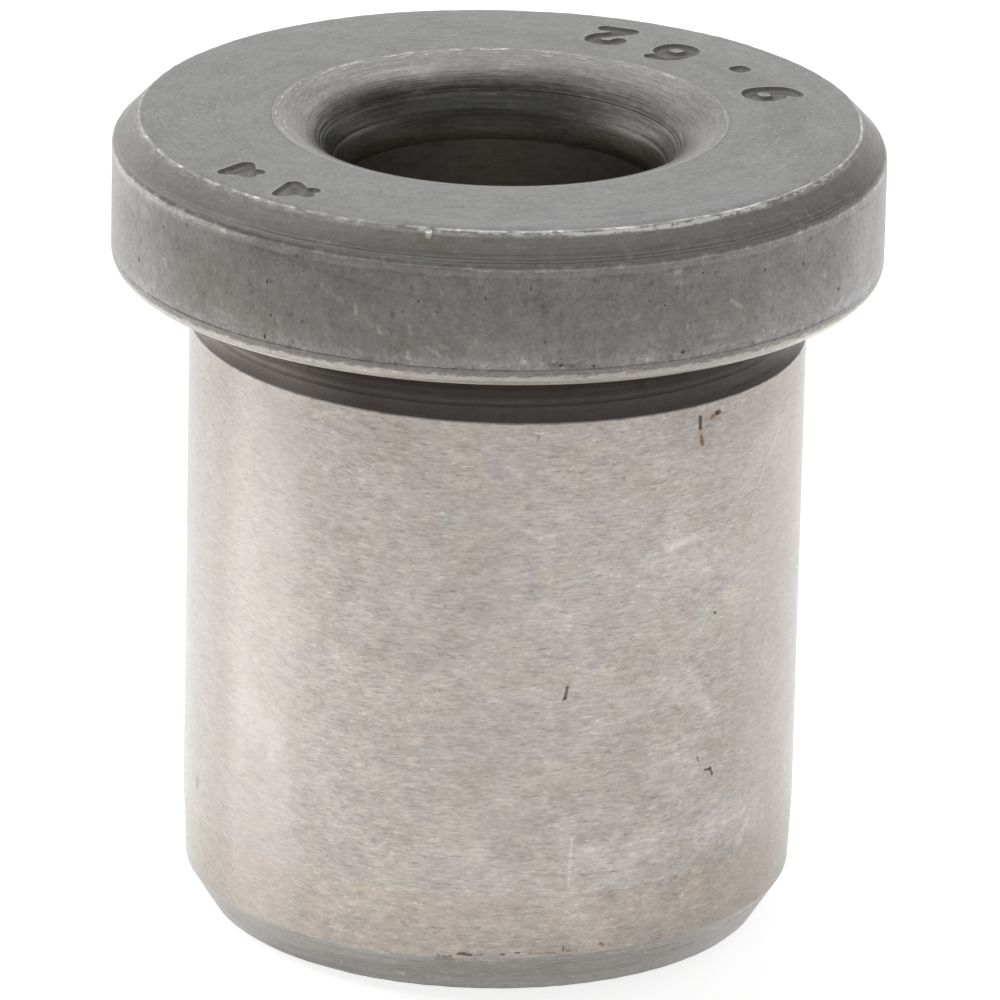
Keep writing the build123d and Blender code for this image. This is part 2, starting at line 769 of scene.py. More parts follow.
@dataclass
class Wear:
    """Pits in the head's side and one nick down the head's chamfer."""

    sizes: Sizes
    pit_depth: float = 0.010
    nick_degrees: float = -10.6
    nick_size: tuple[float, float, float] = (0.085, 0.034, 0.090)
    nick_drop: float = 0.055
    nick_turn: float = -45.0

    def pits(self) -> Object:
        """Makes the tool that cuts the pits: flat balls, each half in the head's side.

        Returns:
            The tool.
        """
        mesh = bmesh.new()
        for pit in PITS:
            size = (pit.half_width, self.pit_depth, pit.half_height)
            self._ball(mesh, pit.degrees, self.sizes.head_radius, pit.height, size, ("Y", pit.turn))
        return self._tool("pits", mesh, Zone.PIT)

    def nick(self) -> Object:
        """Makes the tool that cuts the nick down the head's chamfer.

        Returns:
            The tool.
        """
        mesh = bmesh.new()
        radius = self.sizes.head_radius - self.sizes.head_chamfer + self.nick_drop
        height = self.sizes.length - self.nick_drop
        self._ball(mesh, self.nick_degrees, radius, height, self.nick_size, ("X", self.nick_turn))
        return self._tool("nick", mesh, Zone.TOP_LIP)

    def _ball(self, mesh: BMesh, degrees: float, radius: float, height: float,
              size: tuple[float, float, float], turn: tuple[str, float]) -> None:
        """Adds a flat ball.

        Args:
            mesh: the mesh to add to.
            degrees: its angle from the front.
            radius: its distance from the axis.
            height: its height.
            size: its half sizes round the piece, outwards and up.
            turn: the axis and degrees by which it is turned in place.
        """
        way = Matrix.Rotation(math.radians(degrees), 4, "Z")
        place = Matrix.Translation((0.0, -radius, height))
        roll = Matrix.Rotation(math.radians(turn[1]), 4, turn[0])
        bmesh.ops.create_icosphere(mesh, subdivisions=2, radius=1.0,
                                   matrix=way @ place @ roll @ Matrix.Diagonal((*size, 1.0)))

    def _tool(self, name: str, mesh: BMesh, zone: Zone) -> Object:
        """Makes an object of a mesh, all in one zone.

        Args:
            name: the object's name.
            mesh: the tool's shape.
            zone: the zone that its cut gets.

        Returns:
            The object.
        """
        made = linked(name, filled(bpy.data.meshes.new(name), mesh))
        paint(made, zone)
        return made


class Graph:
    """Adds and links the nodes of one node tree."""

    def __init__(self, tree: NodeTree) -> None:
        """Takes the tree to draw in."""
        self.tree = tree

    @classmethod
    def of(cls, owner: Material | World) -> "Graph":
        """Empties the node tree of a material or a world, to draw in it.

        Args:
            owner: the material or the world.

        Returns:
            The tree's graph.
        """
        owner.use_nodes = True
        owner.node_tree.nodes.clear()
        return cls(owner.node_tree)

    def add(self, kind: str, inputs: dict | None = None, **settings: object) -> Node:
        """Adds a node.

        Args:
            kind: Blender's name for the node.
            inputs: a socket or a value for each input, by name or number.
            settings: the node's own settings.

        Returns:
            The node.
        """
        node = self.tree.nodes.new(kind)
        for name, value in settings.items():
            setattr(node, name, value)
        for key, value in (inputs or {}).items():
            self.feed(node.inputs[key], value)
        return node

    def feed(self, socket: Socket, value: object) -> None:
        """Links a socket to another, or sets its value.

        Args:
            socket: an input of a node.
            value: an output to link to it, or a value; three numbers are a colour.
        """
        if isinstance(value, Socket):
            self.tree.links.new(value, socket)
        elif isinstance(value, tuple) and len(value) == 3 and socket.type == "RGBA":
            socket.default_value = (*value, 1.0)
        else:
            socket.default_value = value

    def math(self, operation: str, *values: object, clamp: bool = False) -> Socket:
        """Adds a Math node and gives its result."""
        node = self.add("ShaderNodeMath", dict(enumerate(values)), operation=operation, use_clamp=clamp)
        return node.outputs[0]

    def vector_math(self, operation: str, *values: object) -> Node:
        """Adds a Vector Math node."""
        return self.add("ShaderNodeVectorMath", dict(enumerate(values)), operation=operation)

    def scaled(self, vector: Socket, scale: object) -> Socket:
        """Scales a vector."""
        return self.add("ShaderNodeVectorMath", {0: vector, "Scale": scale}, operation="SCALE").outputs[0]

    def between(self, value: Socket, low: object, high: object, start: float = 0.0,
                end: float = 1.0) -> Socket:
        """Carries a value's range to another one with soft ends.

        Args:
            value: the value.
            low: value that gives the start.
            high: value that gives the end.
            start: result at and before the low value.
            end: result at and past the high value.

        Returns:
            The result.
        """
        node = self.add("ShaderNodeMapRange", {0: value, 1: low, 2: high, 3: start, 4: end},
                        interpolation_type="SMOOTHSTEP")
        return node.outputs[0]

    def vector(self, x: object, y: object, z: object) -> Socket:
        """Joins three numbers into a vector."""
        return self.add("ShaderNodeCombineXYZ", {0: x, 1: y, 2: z}).outputs[0]

    def within(self, gap: Socket, half: Socket, soft: Socket) -> Socket:
        """Gives 1 up to half a width and 0 past its soft edge."""
        return self.between(gap, half, self.math("ADD", half, soft), 1.0, 0.0)

    def noise(self, vector: Socket, scale: object = 1.0, detail: float = 2.0, rough: float = 0.5) -> Socket:
        """Adds a noise pattern and gives its value."""
        inputs = {"Vector": vector, "Scale": scale, "Detail": detail, "Roughness": rough}
        return self.add("ShaderNodeTexNoise", inputs).outputs[0]

    def drawn(self, place: Socket, travel: Socket, along: object, across: object, seed: object) -> Socket:
        """Makes the coordinates of a pattern that follows the tool's way round the piece.

        Args:
            place: place on the piece.
            travel: distance across the tool's way.
            along: scale along the tool's way.
            across: scale across it.
            seed: tells patterns apart.

        Returns:
            The coordinates.
        """
        parts = self.add("ShaderNodeSeparateXYZ", {0: place}).outputs
        return self.vector(self.math("MULTIPLY", parts[0], along), self.math("MULTIPLY", parts[1], along),
                           self.math("MULTIPLY_ADD", travel, across, seed))

    def mix(self, factor: object, first: object, second: object, blend: str = "MIX") -> Socket:
        """Mixes two colours."""
        inputs = {0: factor, 6: first, 7: second}
        return self.add("ShaderNodeMix", inputs, data_type="RGBA", blend_type=blend).outputs[2]

    def group(self, group: NodeTree, inputs: dict | None = None) -> Node:
        """Adds a group node with its own values.

        Args:
            group: the group's tree.
            inputs: a socket or a value for each input, by name.

        Returns:
            The group node.
        """
        node = self.add("ShaderNodeGroup", None, node_tree=group)
        for key, value in (inputs or {}).items():
            self.feed(node.inputs[key], value)
        return node


FLOAT = "NodeSocketFloat"
VECTOR = "NodeSocketVector"


class EffectGroup:
    """A shader node group that several finishes share, built the first time it is asked for."""

    name = "effect"
    places: tuple[str, ...] = ()
    numbers: tuple[str, ...] = ()
    gives: tuple[tuple[str, str], ...] = ()

    @classmethod
    def tree(cls) -> NodeTree:
        """Gives the group's tree, made with its sockets on first use.

        Returns:
            The tree.
        """
        known = bpy.data.node_groups.get(cls.name)
        if known:
            return known
        tree = bpy.data.node_groups.new(cls.name, "ShaderNodeTree")
        for name in cls.places:
            tree.interface.new_socket(name, in_out="INPUT", socket_type=VECTOR)
        for name in cls.numbers:
            tree.interface.new_socket(name, in_out="INPUT", socket_type=FLOAT)
        for name, kind in cls.gives:
            tree.interface.new_socket(name, in_out="OUTPUT", socket_type=kind)
        graph = Graph(tree)
        entry = tree.nodes.new("NodeGroupInput")
        leave = tree.nodes.new("NodeGroupOutput")
        for name, socket in cls.draw(graph, entry.outputs).items():
            tree.links.new(socket, leave.inputs[name])
        return tree

    @classmethod
    def draw(cls, graph: Graph, given: NodeOutputs) -> dict[str, Socket]:
        """Draws the group's nodes.

        Args:
            graph: the group's graph.
            given: the group's inputs.

        Returns:
            The socket for each output.
        """
        raise NotImplementedError


class Polar(EffectGroup):
    """Place on the bushing in millimetres, with its angle from the front, its radius and its height."""

    name = "polar place"
    gives = (("Place", VECTOR), ("Angle", FLOAT), ("Radius", FLOAT), ("Height", FLOAT))

    @classmethod
    def draw(cls, graph: Graph, given: NodeOutputs) -> dict[str, Socket]:
        """Turns Object coordinates into polar ones.

        Args:
            graph: the group's graph.
            given: the group's inputs, which are not used.

        Returns:
            The socket for each output.
        """
        place = graph.add("ShaderNodeTexCoord").outputs["Object"]
        place = graph.scaled(place, 1 / METRES)
        parts = graph.add("ShaderNodeSeparateXYZ", {0: place}).outputs
        radius = graph.vector_math("LENGTH", graph.vector(parts[0], parts[1], 0.0)).outputs[1]
        angle = graph.math("ARCTAN2", parts[0], graph.math("MULTIPLY", parts[1], -1.0))
        return {"Place": place, "Angle": graph.math("DEGREES", angle), "Radius": radius, "Height": parts[2]}


class ToolPattern(EffectGroup):
    """A pattern left by the tool: its scales along and across the tool's way make it lines or grain."""

    name = "tool pattern"
    places = ("Place",)
    numbers = ("Travel", "Along", "Across", "Seed")
    gives = (("Value", FLOAT),)

    @classmethod
    def draw(cls, graph: Graph, given: NodeOutputs) -> dict[str, Socket]:
        """Reads a noise that is stretched along the tool's way."""
        spot = graph.drawn(given["Place"], given["Travel"], given["Along"], given["Across"], given["Seed"])
        return {"Value": graph.noise(spot, 1.0, 2.0, 0.6)}


class FleckMask(EffectGroup):
    """Mask of scattered flecks, dashes or patches."""

    name = "flecks"
    places = ("Place",)
    numbers = ("Travel", "Along", "Across", "Seed", "Cut", "Spread")
    gives = (("Mask", FLOAT),)

    @classmethod
    def draw(cls, graph: Graph, given: NodeOutputs) -> dict[str, Socket]:
        """Keeps the peaks of a tool pattern, or its troughs where the spread is negative.

        Args:
            graph: the group's graph.
            given: the group's inputs.

        Returns:
            The socket for each output.
        """
        spot = graph.drawn(given["Place"], given["Travel"], given["Along"], given["Across"], given["Seed"])
        full = graph.math("ADD", given["Cut"], given["Spread"])
        return {"Mask": graph.between(graph.noise(spot, 1.0, 2.0, 0.5), given["Cut"], full)}


class BandMask(EffectGroup):
    """Mask of an even band that runs round the piece, between two angles."""

    name = "band"
    numbers = ("Travel", "Angle", "Centre", "Width", "Soft", "Middle", "Half", "Fade")
    gives = (("Mask", FLOAT),)

    @classmethod
    def draw(cls, graph: Graph, given: NodeOutputs) -> dict[str, Socket]:
        """Measures the distance from the band's middle and its reach along the angle.

        Args:
            graph: the group's graph.
            given: the group's inputs.

        Returns:
            The socket for each output.
        """
        gap = graph.math("SUBTRACT", given["Travel"], given["Centre"])
        half = graph.math("MULTIPLY", given["Width"], 0.5)
        stripe = graph.within(graph.math("ABSOLUTE", gap), half, given["Soft"])
        turn = graph.math("WRAP", graph.math("SUBTRACT", given["Angle"], given["Middle"]), 180.0, -180.0)
        reach = graph.within(graph.math("ABSOLUTE", turn), given["Half"], given["Fade"])
        return {"Mask": graph.math("MULTIPLY", stripe, reach)}


class BeltMask(EffectGroup):
    """Mask of a line or band that runs round the piece, between two angles, wandering and broken.

    The pattern that breaks it is finer than the one it wanders by, and both are stretched along it.
    """

    name = "belt"
    places = ("Place",)
    numbers = ("Travel", "Angle", "Centre", "Width", "Soft", "Wander", "Along", "Unit", "Cut", "Middle",
               "Half", "Fade", "Seed")
    gives = (("Mask", FLOAT),)
    stretch = 2.5
    rough = 0.65
    finer = 1.3
    apart = 17.3
    soft_cut = 0.18

    @classmethod
    def draw(cls, graph: Graph, given: NodeOutputs) -> dict[str, Socket]:
        """Lets a band wander and breaks it into pieces.

        Args:
            graph: the group's graph.
            given: the group's inputs.

        Returns:
            The socket for each output.
        """
        across = graph.math("MULTIPLY", graph.math("MULTIPLY", given["Along"], cls.stretch), given["Unit"])
        ways = [given["Place"], given["Travel"], given["Along"], across]
        swing = graph.noise(graph.drawn(*ways, given["Seed"]), 1.0, 2.0, cls.rough)
        shift = graph.math("MULTIPLY", graph.math("SUBTRACT", swing, 0.5), given["Wander"])
        apart = graph.math("ADD", given["Seed"], cls.apart)
        pieces = graph.noise(graph.drawn(*ways, apart), cls.finer, 2.0, cls.rough)
        kept = graph.between(pieces, given["Cut"], graph.math("ADD", given["Cut"], cls.soft_cut))
        band = {name: given[name] for name in BandMask.numbers}
        band["Travel"] = graph.math("ADD", given["Travel"], shift)
        return {"Mask": graph.math("MULTIPLY", graph.group(BandMask.tree(), band).outputs[0], kept)}


class MarkMask(EffectGroup):
    """Mask of one mark between two places of the unrolled surface, with a ragged edge."""

    name = "surface mark"
    places = ("Place",)
    numbers = ("Travel", "Angle", "Radius", "Angle 1", "Travel 1", "Angle 2", "Travel 2", "Width", "Soft",
               "Ragged", "Grain")
    gives = (("Mask", FLOAT),)

    @classmethod
    def draw(cls, graph: Graph, given: NodeOutputs) -> dict[str, Socket]:
        """Measures the distance to the mark's middle line.

        Args:
            graph: the group's graph.
            given: the group's inputs.

        Returns:
            The socket for each output.
        """
        arc = graph.math("MULTIPLY", given["Radius"], math.radians(1))

        def unrolled(angle: Socket, travel: Socket) -> Socket:
            """Gives a place on the unrolled surface, measured from the mark's start.

            Args:
                angle: the place's angle.
                travel: its travel.

            Returns:
                The place in millimetres.
            """
            turn = graph.math("WRAP", graph.math("SUBTRACT", angle, given["Angle 1"]), 180.0, -180.0)
            return graph.vector(graph.math("MULTIPLY", turn, arc),
                                graph.math("SUBTRACT", travel, given["Travel 1"]), 0.0)

        spot = unrolled(given["Angle"], given["Travel"])
        line = unrolled(given["Angle 2"], given["Travel 2"])
        dot = graph.vector_math("DOT_PRODUCT", spot, line).outputs[1]
        square = graph.math("ADD", graph.vector_math("DOT_PRODUCT", line, line).outputs[1], 1e-6)
        share = graph.math("DIVIDE", dot, square, clamp=True)
        foot = graph.scaled(line, share)
        gap = graph.vector_math("DISTANCE", spot, foot).outputs[1]
        rough = graph.math("SUBTRACT", graph.noise(given["Place"], given["Grain"], 2.0, 0.65), 0.5)
        gap = graph.math("MULTIPLY_ADD", rough, given["Ragged"], gap)
        half = graph.math("MULTIPLY", given["Width"], 0.5)
        return {"Mask": graph.within(gap, half, given["Soft"])}


class Tone(Enum):
    """What a stain, scratch, line, patch or painted shade or highlight does to the colour under it."""

    SOOT = (0.20, 0.17, 0.14)
    BROWN = (0.50, 0.40, 0.31)
    DARK = (0.45, 0.45, 0.45)
    SHADE = (0.74, 0.74, 0.74)
    RUST = (0.93, 0.82, 0.72)
    OLIVE = (0.995, 0.992, 0.960)
    PINK = (1.00, 0.985, 0.982)
    WARM = (1.005, 0.995, 0.975)
    COOL = (0.985, 0.995, 1.005)
    PALE = (1.12, 1.13, 1.15)
    # chalky marks, and painted light on the head's sides
    CHALK_AND_PAINTED_LIGHT = (1.28, 1.31, 1.36)
    LIGHT = (1.60, 1.60, 1.58)
    BRIGHT = (2.40, 2.40, 2.35)


@dataclass(frozen=True)
class Spot:
    """Where a layer is on the piece, with the millimetres of a travel's unit and how much patterns show."""

    place: Socket
    travel: Socket
    angle: Socket
    radius: float
    unit: float
    show: object = 1.0

    def inputs(self, angle: bool = True) -> dict[str, object]:
        """Gives the inputs that every effect group takes, with the angle where it takes that too."""
        given = {"Place": self.place, "Travel": self.travel}
        return given | {"Angle": self.angle} if angle else given


@dataclass(frozen=True)
class Layer:
    """Something that changes the colour of a finish where its mask says so."""

    tone: Tone

    def mask(self, graph: Graph, spot: Spot) -> Socket:
        """Draws the layer's mask.

        Args:
            graph: the material's graph.
            spot: where the layer is.

        Returns:
            The mask.
        """
        raise NotImplementedError

    def lay(self, graph: Graph, spot: Spot, colour: object) -> Socket:
        """Lays the tone over a colour."""
        return graph.mix(self.mask(graph, spot), colour, self.tone.value, "MULTIPLY")


@dataclass(frozen=True)
class Fade(Layer):
    """A tone that comes in from one travel to another."""

    start: float
    end: float

    def mask(self, graph: Graph, spot: Spot) -> Socket:
        """Ramps with the travel."""
        return graph.between(spot.travel, self.start, self.end)


@dataclass(frozen=True)
class Flecks(Layer):
    """Flecks, dashes or patches all over a zone, or coming in from one travel to another.

    A negative spread takes the pattern's troughs, below the cut, in place of its peaks.
    """

    along: float
    across: float
    cut: float
    spread: float = 0.06
    strength: float = 1.0
    seed: float = 0.0
    past: tuple[float, float] | None = None

    def mask(self, graph: Graph, spot: Spot) -> Socket:
        """Takes the group's mask at its strength.

        Args:
            graph: the material's graph.
            spot: where the layer is.

        Returns:
            The mask.
        """
        values = {"Along": self.along, "Across": self.across, "Seed": self.seed, "Cut": self.cut,
                  "Spread": self.spread}
        mask = graph.math("MULTIPLY", graph.group(FleckMask.tree(), spot.inputs(False) | values).outputs[0],
                          graph.math("MULTIPLY", spot.show, self.strength))
        if self.past:
            mask = graph.math("MULTIPLY", mask, graph.between(spot.travel, *self.past))
        return mask


@dataclass(frozen=True)
class Belt(Layer):
    """A line or band round the piece at one travel, between two angles.

    A cut breaks it into pieces, and where there is none and it doesn't wander, it is an even band.
    """

    centre: float
    width: float
    soft: float
    angles: tuple[float, float] = (-180.0, 180.0)
    strength: float = 1.0
    cut: float = -1.0
    wander: float = 0.0
    along: float = 2.2
    fade: float = 12.0
    seed: float = 0.0

    def mask(self, graph: Graph, spot: Spot) -> Socket:
        """Takes the group's mask at its strength.

        Args:
            graph: the material's graph.
            spot: where the layer is.

        Returns:
            The mask.
        """
        first, last = self.angles
        values = {"Travel": spot.travel, "Angle": spot.angle, "Centre": self.centre, "Width": self.width,
                  "Soft": self.soft, "Middle": (first + last) / 2, "Half": (last - first) / 2,
                  "Fade": self.fade}
        kind = BandMask
        if self.cut > 0.0 or self.wander:
            kind = BeltMask
            values |= {"Place": spot.place, "Wander": self.wander, "Along": self.along, "Unit": spot.unit,
                       "Cut": self.cut, "Seed": self.seed}
        return graph.math("MULTIPLY", graph.group(kind.tree(), values).outputs[0], self.strength)


@dataclass(frozen=True)
class Mark(Layer):
    """A scratch, scuff, stain or painted glint between places, each an angle in degrees and a travel."""

    start: tuple[float, float]
    end: tuple[float, float]
    width: float
    soft: float = 0.03
    strength: float = 1.0
    ragged: float = 0.03
    grain: float = 11.0

    def mask(self, graph: Graph, spot: Spot) -> Socket:
        """Takes the group's mask at its strength.

        Args:
            graph: the material's graph.
            spot: where the layer is.

        Returns:
            The mask.
        """
        values = {"Radius": spot.radius, "Angle 1": self.start[0], "Travel 1": self.start[1],
                  "Angle 2": self.end[0], "Travel 2": self.end[1], "Width": self.width, "Soft": self.soft,
                  "Ragged": self.ragged, "Grain": self.grain}
        mask = graph.group(MarkMask.tree(), spot.inputs() | values).outputs[0]
        return graph.math("MULTIPLY", mask, self.strength)


@dataclass(frozen=True)
class Pattern:
    """A tool pattern's share of the colour and its relief in micrometres."""

    share: float
    relief: float
    along: float
    across: float
    seed: float = 0.0


class Across(Enum):
    """What the travel across the tool's way is measured by on a surface."""

    RADIUS = "radius"
    HEIGHT = "height"
    MOUTH_SLOPE = "slope of the mouth's round in degrees, from its top"
    EDGE_SLOPE = "slope of the head's lower round in degrees, from the head's side"


@dataclass(frozen=True)
class Finish:
    """A steel finish: its colour and shine, the tool's patterns, and the layers that lie over them.

    Its radius turns angles into millimetres for its marks. Calm stretches, each a middle angle, a half
    width and a fade, show the patterns at the calm level. The first pattern moves the roughness by its
    swing to either side.
    """

    name: str
    colour: RGB
    roughness: float
    across: Across
    patterns: tuple[Pattern, ...]
    layers: tuple[Layer, ...] = ()
    radius: float = 6.0
    calm: tuple[tuple[float, float, float], ...] = ()
    calm_level: float = 0.45
    darkest: float = 0.05
    swing: float = 0.12

    def material(self, sizes: Sizes) -> Material:
        """Builds the material.

        Args:
            sizes: the bushing's sizes, which the slopes are measured with.

        Returns:
            The material, with its shader linked to its output.
        """
        material = bpy.data.materials.new(self.name)
        graph = Graph.of(material)
        polar = graph.group(Polar.tree()).outputs
        show = 1.0
        for middle, half, fade in self.calm:
            turn = graph.math("ABSOLUTE", graph.math("SUBTRACT", polar["Angle"], middle))
            calm = graph.between(turn, half, half + fade, self.calm_level, 1.0)
            show = graph.math("MULTIPLY", show, calm)
        spot = Spot(polar["Place"], self.travel(graph, polar, sizes), polar["Angle"], self.radius,
                    self.unit(sizes), show)
        level, relief, first = 0.0, 0.0, None
        for pattern in self.patterns:
            values = {"Along": pattern.along, "Across": pattern.across, "Seed": pattern.seed}
            value = graph.group(ToolPattern.tree(), spot.inputs(False) | values).outputs[0]
            centred = graph.math("SUBTRACT", value, 0.5)
            level = graph.math("MULTIPLY_ADD", centred, pattern.share, level)
            if pattern.relief:
                relief = graph.math("MULTIPLY_ADD", centred, pattern.relief, relief)
            first = first or value
        level = graph.math("MAXIMUM", graph.math("MULTIPLY_ADD", level, show, 1.0), self.darkest)
        grey = graph.add("ShaderNodeCombineColor", {0: level, 1: level, 2: level}).outputs[0]
        colour = graph.mix(1.0, grey, self.colour, "MULTIPLY")
        for layer in self.layers:
            colour = layer.lay(graph, spot, colour)
        ends = (self.roughness * (1 + self.swing), self.roughness * (1 - self.swing))
        roughness = graph.between(first, 0.2, 0.8, *ends)
        bump = graph.add("ShaderNodeBump", {"Height": relief, "Distance": 1e-6, "Strength": 1.0})
        shader = graph.add("ShaderNodeBsdfPrincipled", {"Base Color": colour, "Roughness": roughness,
                                                        "Metallic": 1.0, "Normal": bump.outputs[0]})
        graph.add("ShaderNodeOutputMaterial", {0: shader.outputs[0]})
        return material

    def unit(self, sizes: Sizes) -> float:
        """Gives the millimetres that one unit of the travel is worth."""
        rounds = {Across.MOUTH_SLOPE: sizes.mouth_radius, Across.EDGE_SLOPE: sizes.head_edge_radius}
        return math.radians(rounds[self.across]) if self.across in rounds else 1.0

    def travel(self, graph: Graph, polar: NodeOutputs, sizes: Sizes) -> Socket:
        """Measures the travel across the tool's way.

        Args:
            graph: the material's graph.
            polar: the outputs of the polar place.
            sizes: the bushing's sizes.

        Returns:
            The travel, in millimetres or in degrees of slope.
        """
        if self.across is Across.RADIUS:
            return polar["Radius"]
        if self.across is Across.HEIGHT:
            return polar["Height"]
        mouth = self.across is Across.MOUTH_SLOPE
        radius, height = sizes.mouth_centre if mouth else sizes.edge_centre
        out = graph.math("SUBTRACT", polar["Radius"], radius)
        up = graph.math("SUBTRACT", polar["Height"], height)
        ends = (graph.math("MULTIPLY", out, -1.0), up) if mouth else (graph.math("MULTIPLY", up, -1.0), out)
        return graph.math("DEGREES", graph.math("ARCTAN2", *ends))


def belts(tone: Tone, *rows: tuple[float, ...]) -> tuple[Belt, ...]:
    """Makes belts of one tone.

    Args:
        tone: their tone.
        rows: for each one the centre, width, soft edge, first and last angle, and a belt's further values.

    Returns:
        The belts.
    """
    return tuple(Belt(tone, *row[:3], row[3:5], *row[5:]) for row in rows)


def bands(tone: Tone, *rows: tuple[float, float, float, float, float, float, float]) -> tuple[Belt, ...]:
    """Makes even bands of one tone.

    Args:
        tone: their tone.
        rows: for each one the centre, width, soft edge, first and last angle, strength and fade.

    Returns:
        The bands.
    """
    return tuple(Belt(tone, *row[:3], row[3:5], row[5], fade=row[6]) for row in rows)


def marks(tone: Tone, *rows: tuple[float, ...]) -> tuple[Mark, ...]:
    """Makes marks of one tone.

    Args:
        tone: their tone.
        rows: for each one the start and the end, both an angle and a travel, and a mark's further values.

    Returns:
        The marks.
    """
    return tuple(Mark(tone, row[:2], row[2:4], *row[4:]) for row in rows)


# Patterns that several finishes share
FINE_GRAIN = Pattern(0.34, 0.5, 17, 17, 2)
SOFT_GRAIN = Pattern(0.24, 0, 6, 6, 7)
CLOUDS = Pattern(0.2, 0, 0.9, 0.9, 13)
FINE_LINES = Pattern(0.26, 0.8, 1.4, 26, 5)
LONG_LINES = Pattern(0.2, 0.8, 0.5, 11, 11)

GROUND_PATTERNS = (
    Pattern(0.52, 0.4, 4.5, 21), Pattern(0.28, 0, 9, 28, 5), Pattern(0.46, 0, 2.4, 6, 9),
    Pattern(0.18, 0, 12, 12, 3), Pattern(0.32, 0, 0.9, 1.2, 21),
)
GROUND_TINTS = (
    Flecks(Tone.PINK, 1, 1, 0.47, 0.16, 1, 31), Flecks(Tone.OLIVE, 1, 1, 0.5, -0.14, 1, 31),
    Flecks(Tone.COOL, 0.7, 0.8, 0.5, 0.14, 1, 61), Flecks(Tone.WARM, 1.8, 2.4, 0.52, 0.12, 1, 77),
    Flecks(Tone.SHADE, 5, 20, 0.6, 0.12, 0.9, 83), Flecks(Tone.CHALK_AND_PAINTED_LIGHT, 5, 20, 0.39, -0.1, 0.7, 83),
    Flecks(Tone.DARK, 6, 24, 0.67, 0.1, 0.36, 113), Flecks(Tone.LIGHT, 6, 24, 0.33, -0.1, 0.34, 113),
    Flecks(Tone.PALE, 1.3, 1.5, 0.54, 0.16, 0.5, 97),
)
# Painted light and shade on the ground body: darker bands down both sides and at the top right, lighter
# bands where the left highlight falls and at the front right
GROUND_PAINTED_LIGHT_AND_SHADE = (
    *bands(Tone.SHADE,
        (7, 14, 0.5, -90, -62, 0.36, 10), (7, 14, 0.5, 46, 78, 0.36, 10),
        (11.7, 0.9, 0.8, 40, 80, 0.3, 10)),
    *bands(Tone.PALE, (7, 14, 0.5, -52, -42, 0.6, 8), (9, 5, 1, 6, 26, 0.4, 10)),
)
GROUND_CALM = ((-60, 16, 14), (80, 14, 24))
LEAD_LINE = Belt(Tone.PALE, 2.2, 0.03, 0.03, (-60, 40), 1, 0.46, 0.03, 3.2, 20)

BODY_MARKS = (
    *marks(Tone.SOOT,
        (40.8, 11.52, 41, 11.3, 0.05, 0.034, 0.9, 0.08), (45, 11.53, 45.8, 11.51, 0.046, 0.034, 0.9, 0.08),
        (14.7, 6.43, 14.3, 6.2, 0.032, 0.028, 0.8, 0.03), (46, 7.42, 46.1, 7.41, 0.04, 0.024, 0.8),
        (44.6, 4.22, 45.9, 4.21, 0.032, 0.026, 0.8, 0.04),
        (45.9, 4.21, 46.5, 4.09, 0.04, 0.026, 0.8, 0.04)),
    *marks(Tone.BROWN,
        (41.2, 11.12, 41.6, 10.97, 0.046, 0.035, 0.9, 0.08),
        (43.7, 11.46, 44.9, 11.52, 0.046, 0.04, 0.8, 0.08),
        (14.3, 6.22, 13.9, 6.17, 0.02, 0.03, 0.8, 0.04),
        (42.5, 4.53, 42.8, 4.46, 0.03, 0.03, 0.8, 0.05)),
    *marks(Tone.RUST,
        (42.5, 11.5, 45, 11.46, 0.08, 0.1, 0.6, 0.1), (41.1, 11.3, 41.4, 11, 0.06, 0.08, 0.6, 0.1)),
    *marks(Tone.SHADE,
        (24.6, 10.6, 24.6, 10.57, 0.03, 0.04), (8.2, 11.55, 8.2, 11.48, 0.03, 0.04),
        (-71, 2.8, -70.8, 2.84, 0.1, 0.12), (19, 3.32, 22.5, 3.3, 0.1, 0.25, 0.4, 0.3, 6.5)),
    *marks(Tone.CHALK_AND_PAINTED_LIGHT,
        (70.5, 11.05, 61, 10.1, 0.014, 0.04, 0.5, 0.04), (61, 10.1, 55.5, 9.35, 0.012, 0.04, 0.35, 0.04),
        (34, 9.02, 43, 9.1, 0.03, 0.14, 0.45, 0.3, 6.5), (42.5, 8.45, 44, 8.3, 0.04, 0.16, 0.45, 0.3, 6.5),
        (34, 6.1, 41, 5.9, 0.1, 0.4, 0.35, 0.7, 6.5), (42, 6, 46.5, 5.2, 0.01, 0.14, 0.4, 0.3, 6.5),
        (36, 4.95, 43.5, 5, 0.01, 0.12, 0.4, 0.3, 6.5), (47, 3.1, 59, 2.9, 0.2, 0.55, 0.45, 1, 6.5),
        (50, 2.95, 57.5, 3.05, 0.01, 0.06, 0.45, 0.08), (54.5, 2.4, 58, 2.8, 0.02, 0.12, 0.4, 0.1),
        (23, 2.9, 34.5, 2.95, 0.2, 0.55, 0.4, 1, 6.5), (16.2, 3.32, 15.9, 2.35, 0.01, 0.05, 0.5, 0.06),
        (16, 2.3, 17.6, 2.22, 0.02, 0.07, 0.45, 0.08), (38.2, 3.6, 38.8, 3.68, 0.02, 0.06, 0.45, 0.06),
        (42, 7.2, 42.5, 7.15, 0.02, 0.07, 0.4, 0.06)),
    *marks(Tone.PALE,
        (64, 10.7, 66, 10.4, 0.3, 0.5, 0.6, 0.7, 3.5), (36, 8.7, 52, 7.9, 0.4, 0.8, 0.7, 1.2, 3.5),
        (36, 4.6, 46, 3.4, 0.5, 0.8, 0.7, 1.2, 3.5), (19, 3, 24, 2.5, 0.5, 0.5, 0.5, 0.8, 3.5),
        (-50, 5, -46, 4.7, 0.5, 0.6, 0.6, 1, 3.5), (20, 5.5, 23, 5.6, 0.1, 0.3, 0.8, 0.4, 6.5)),
)

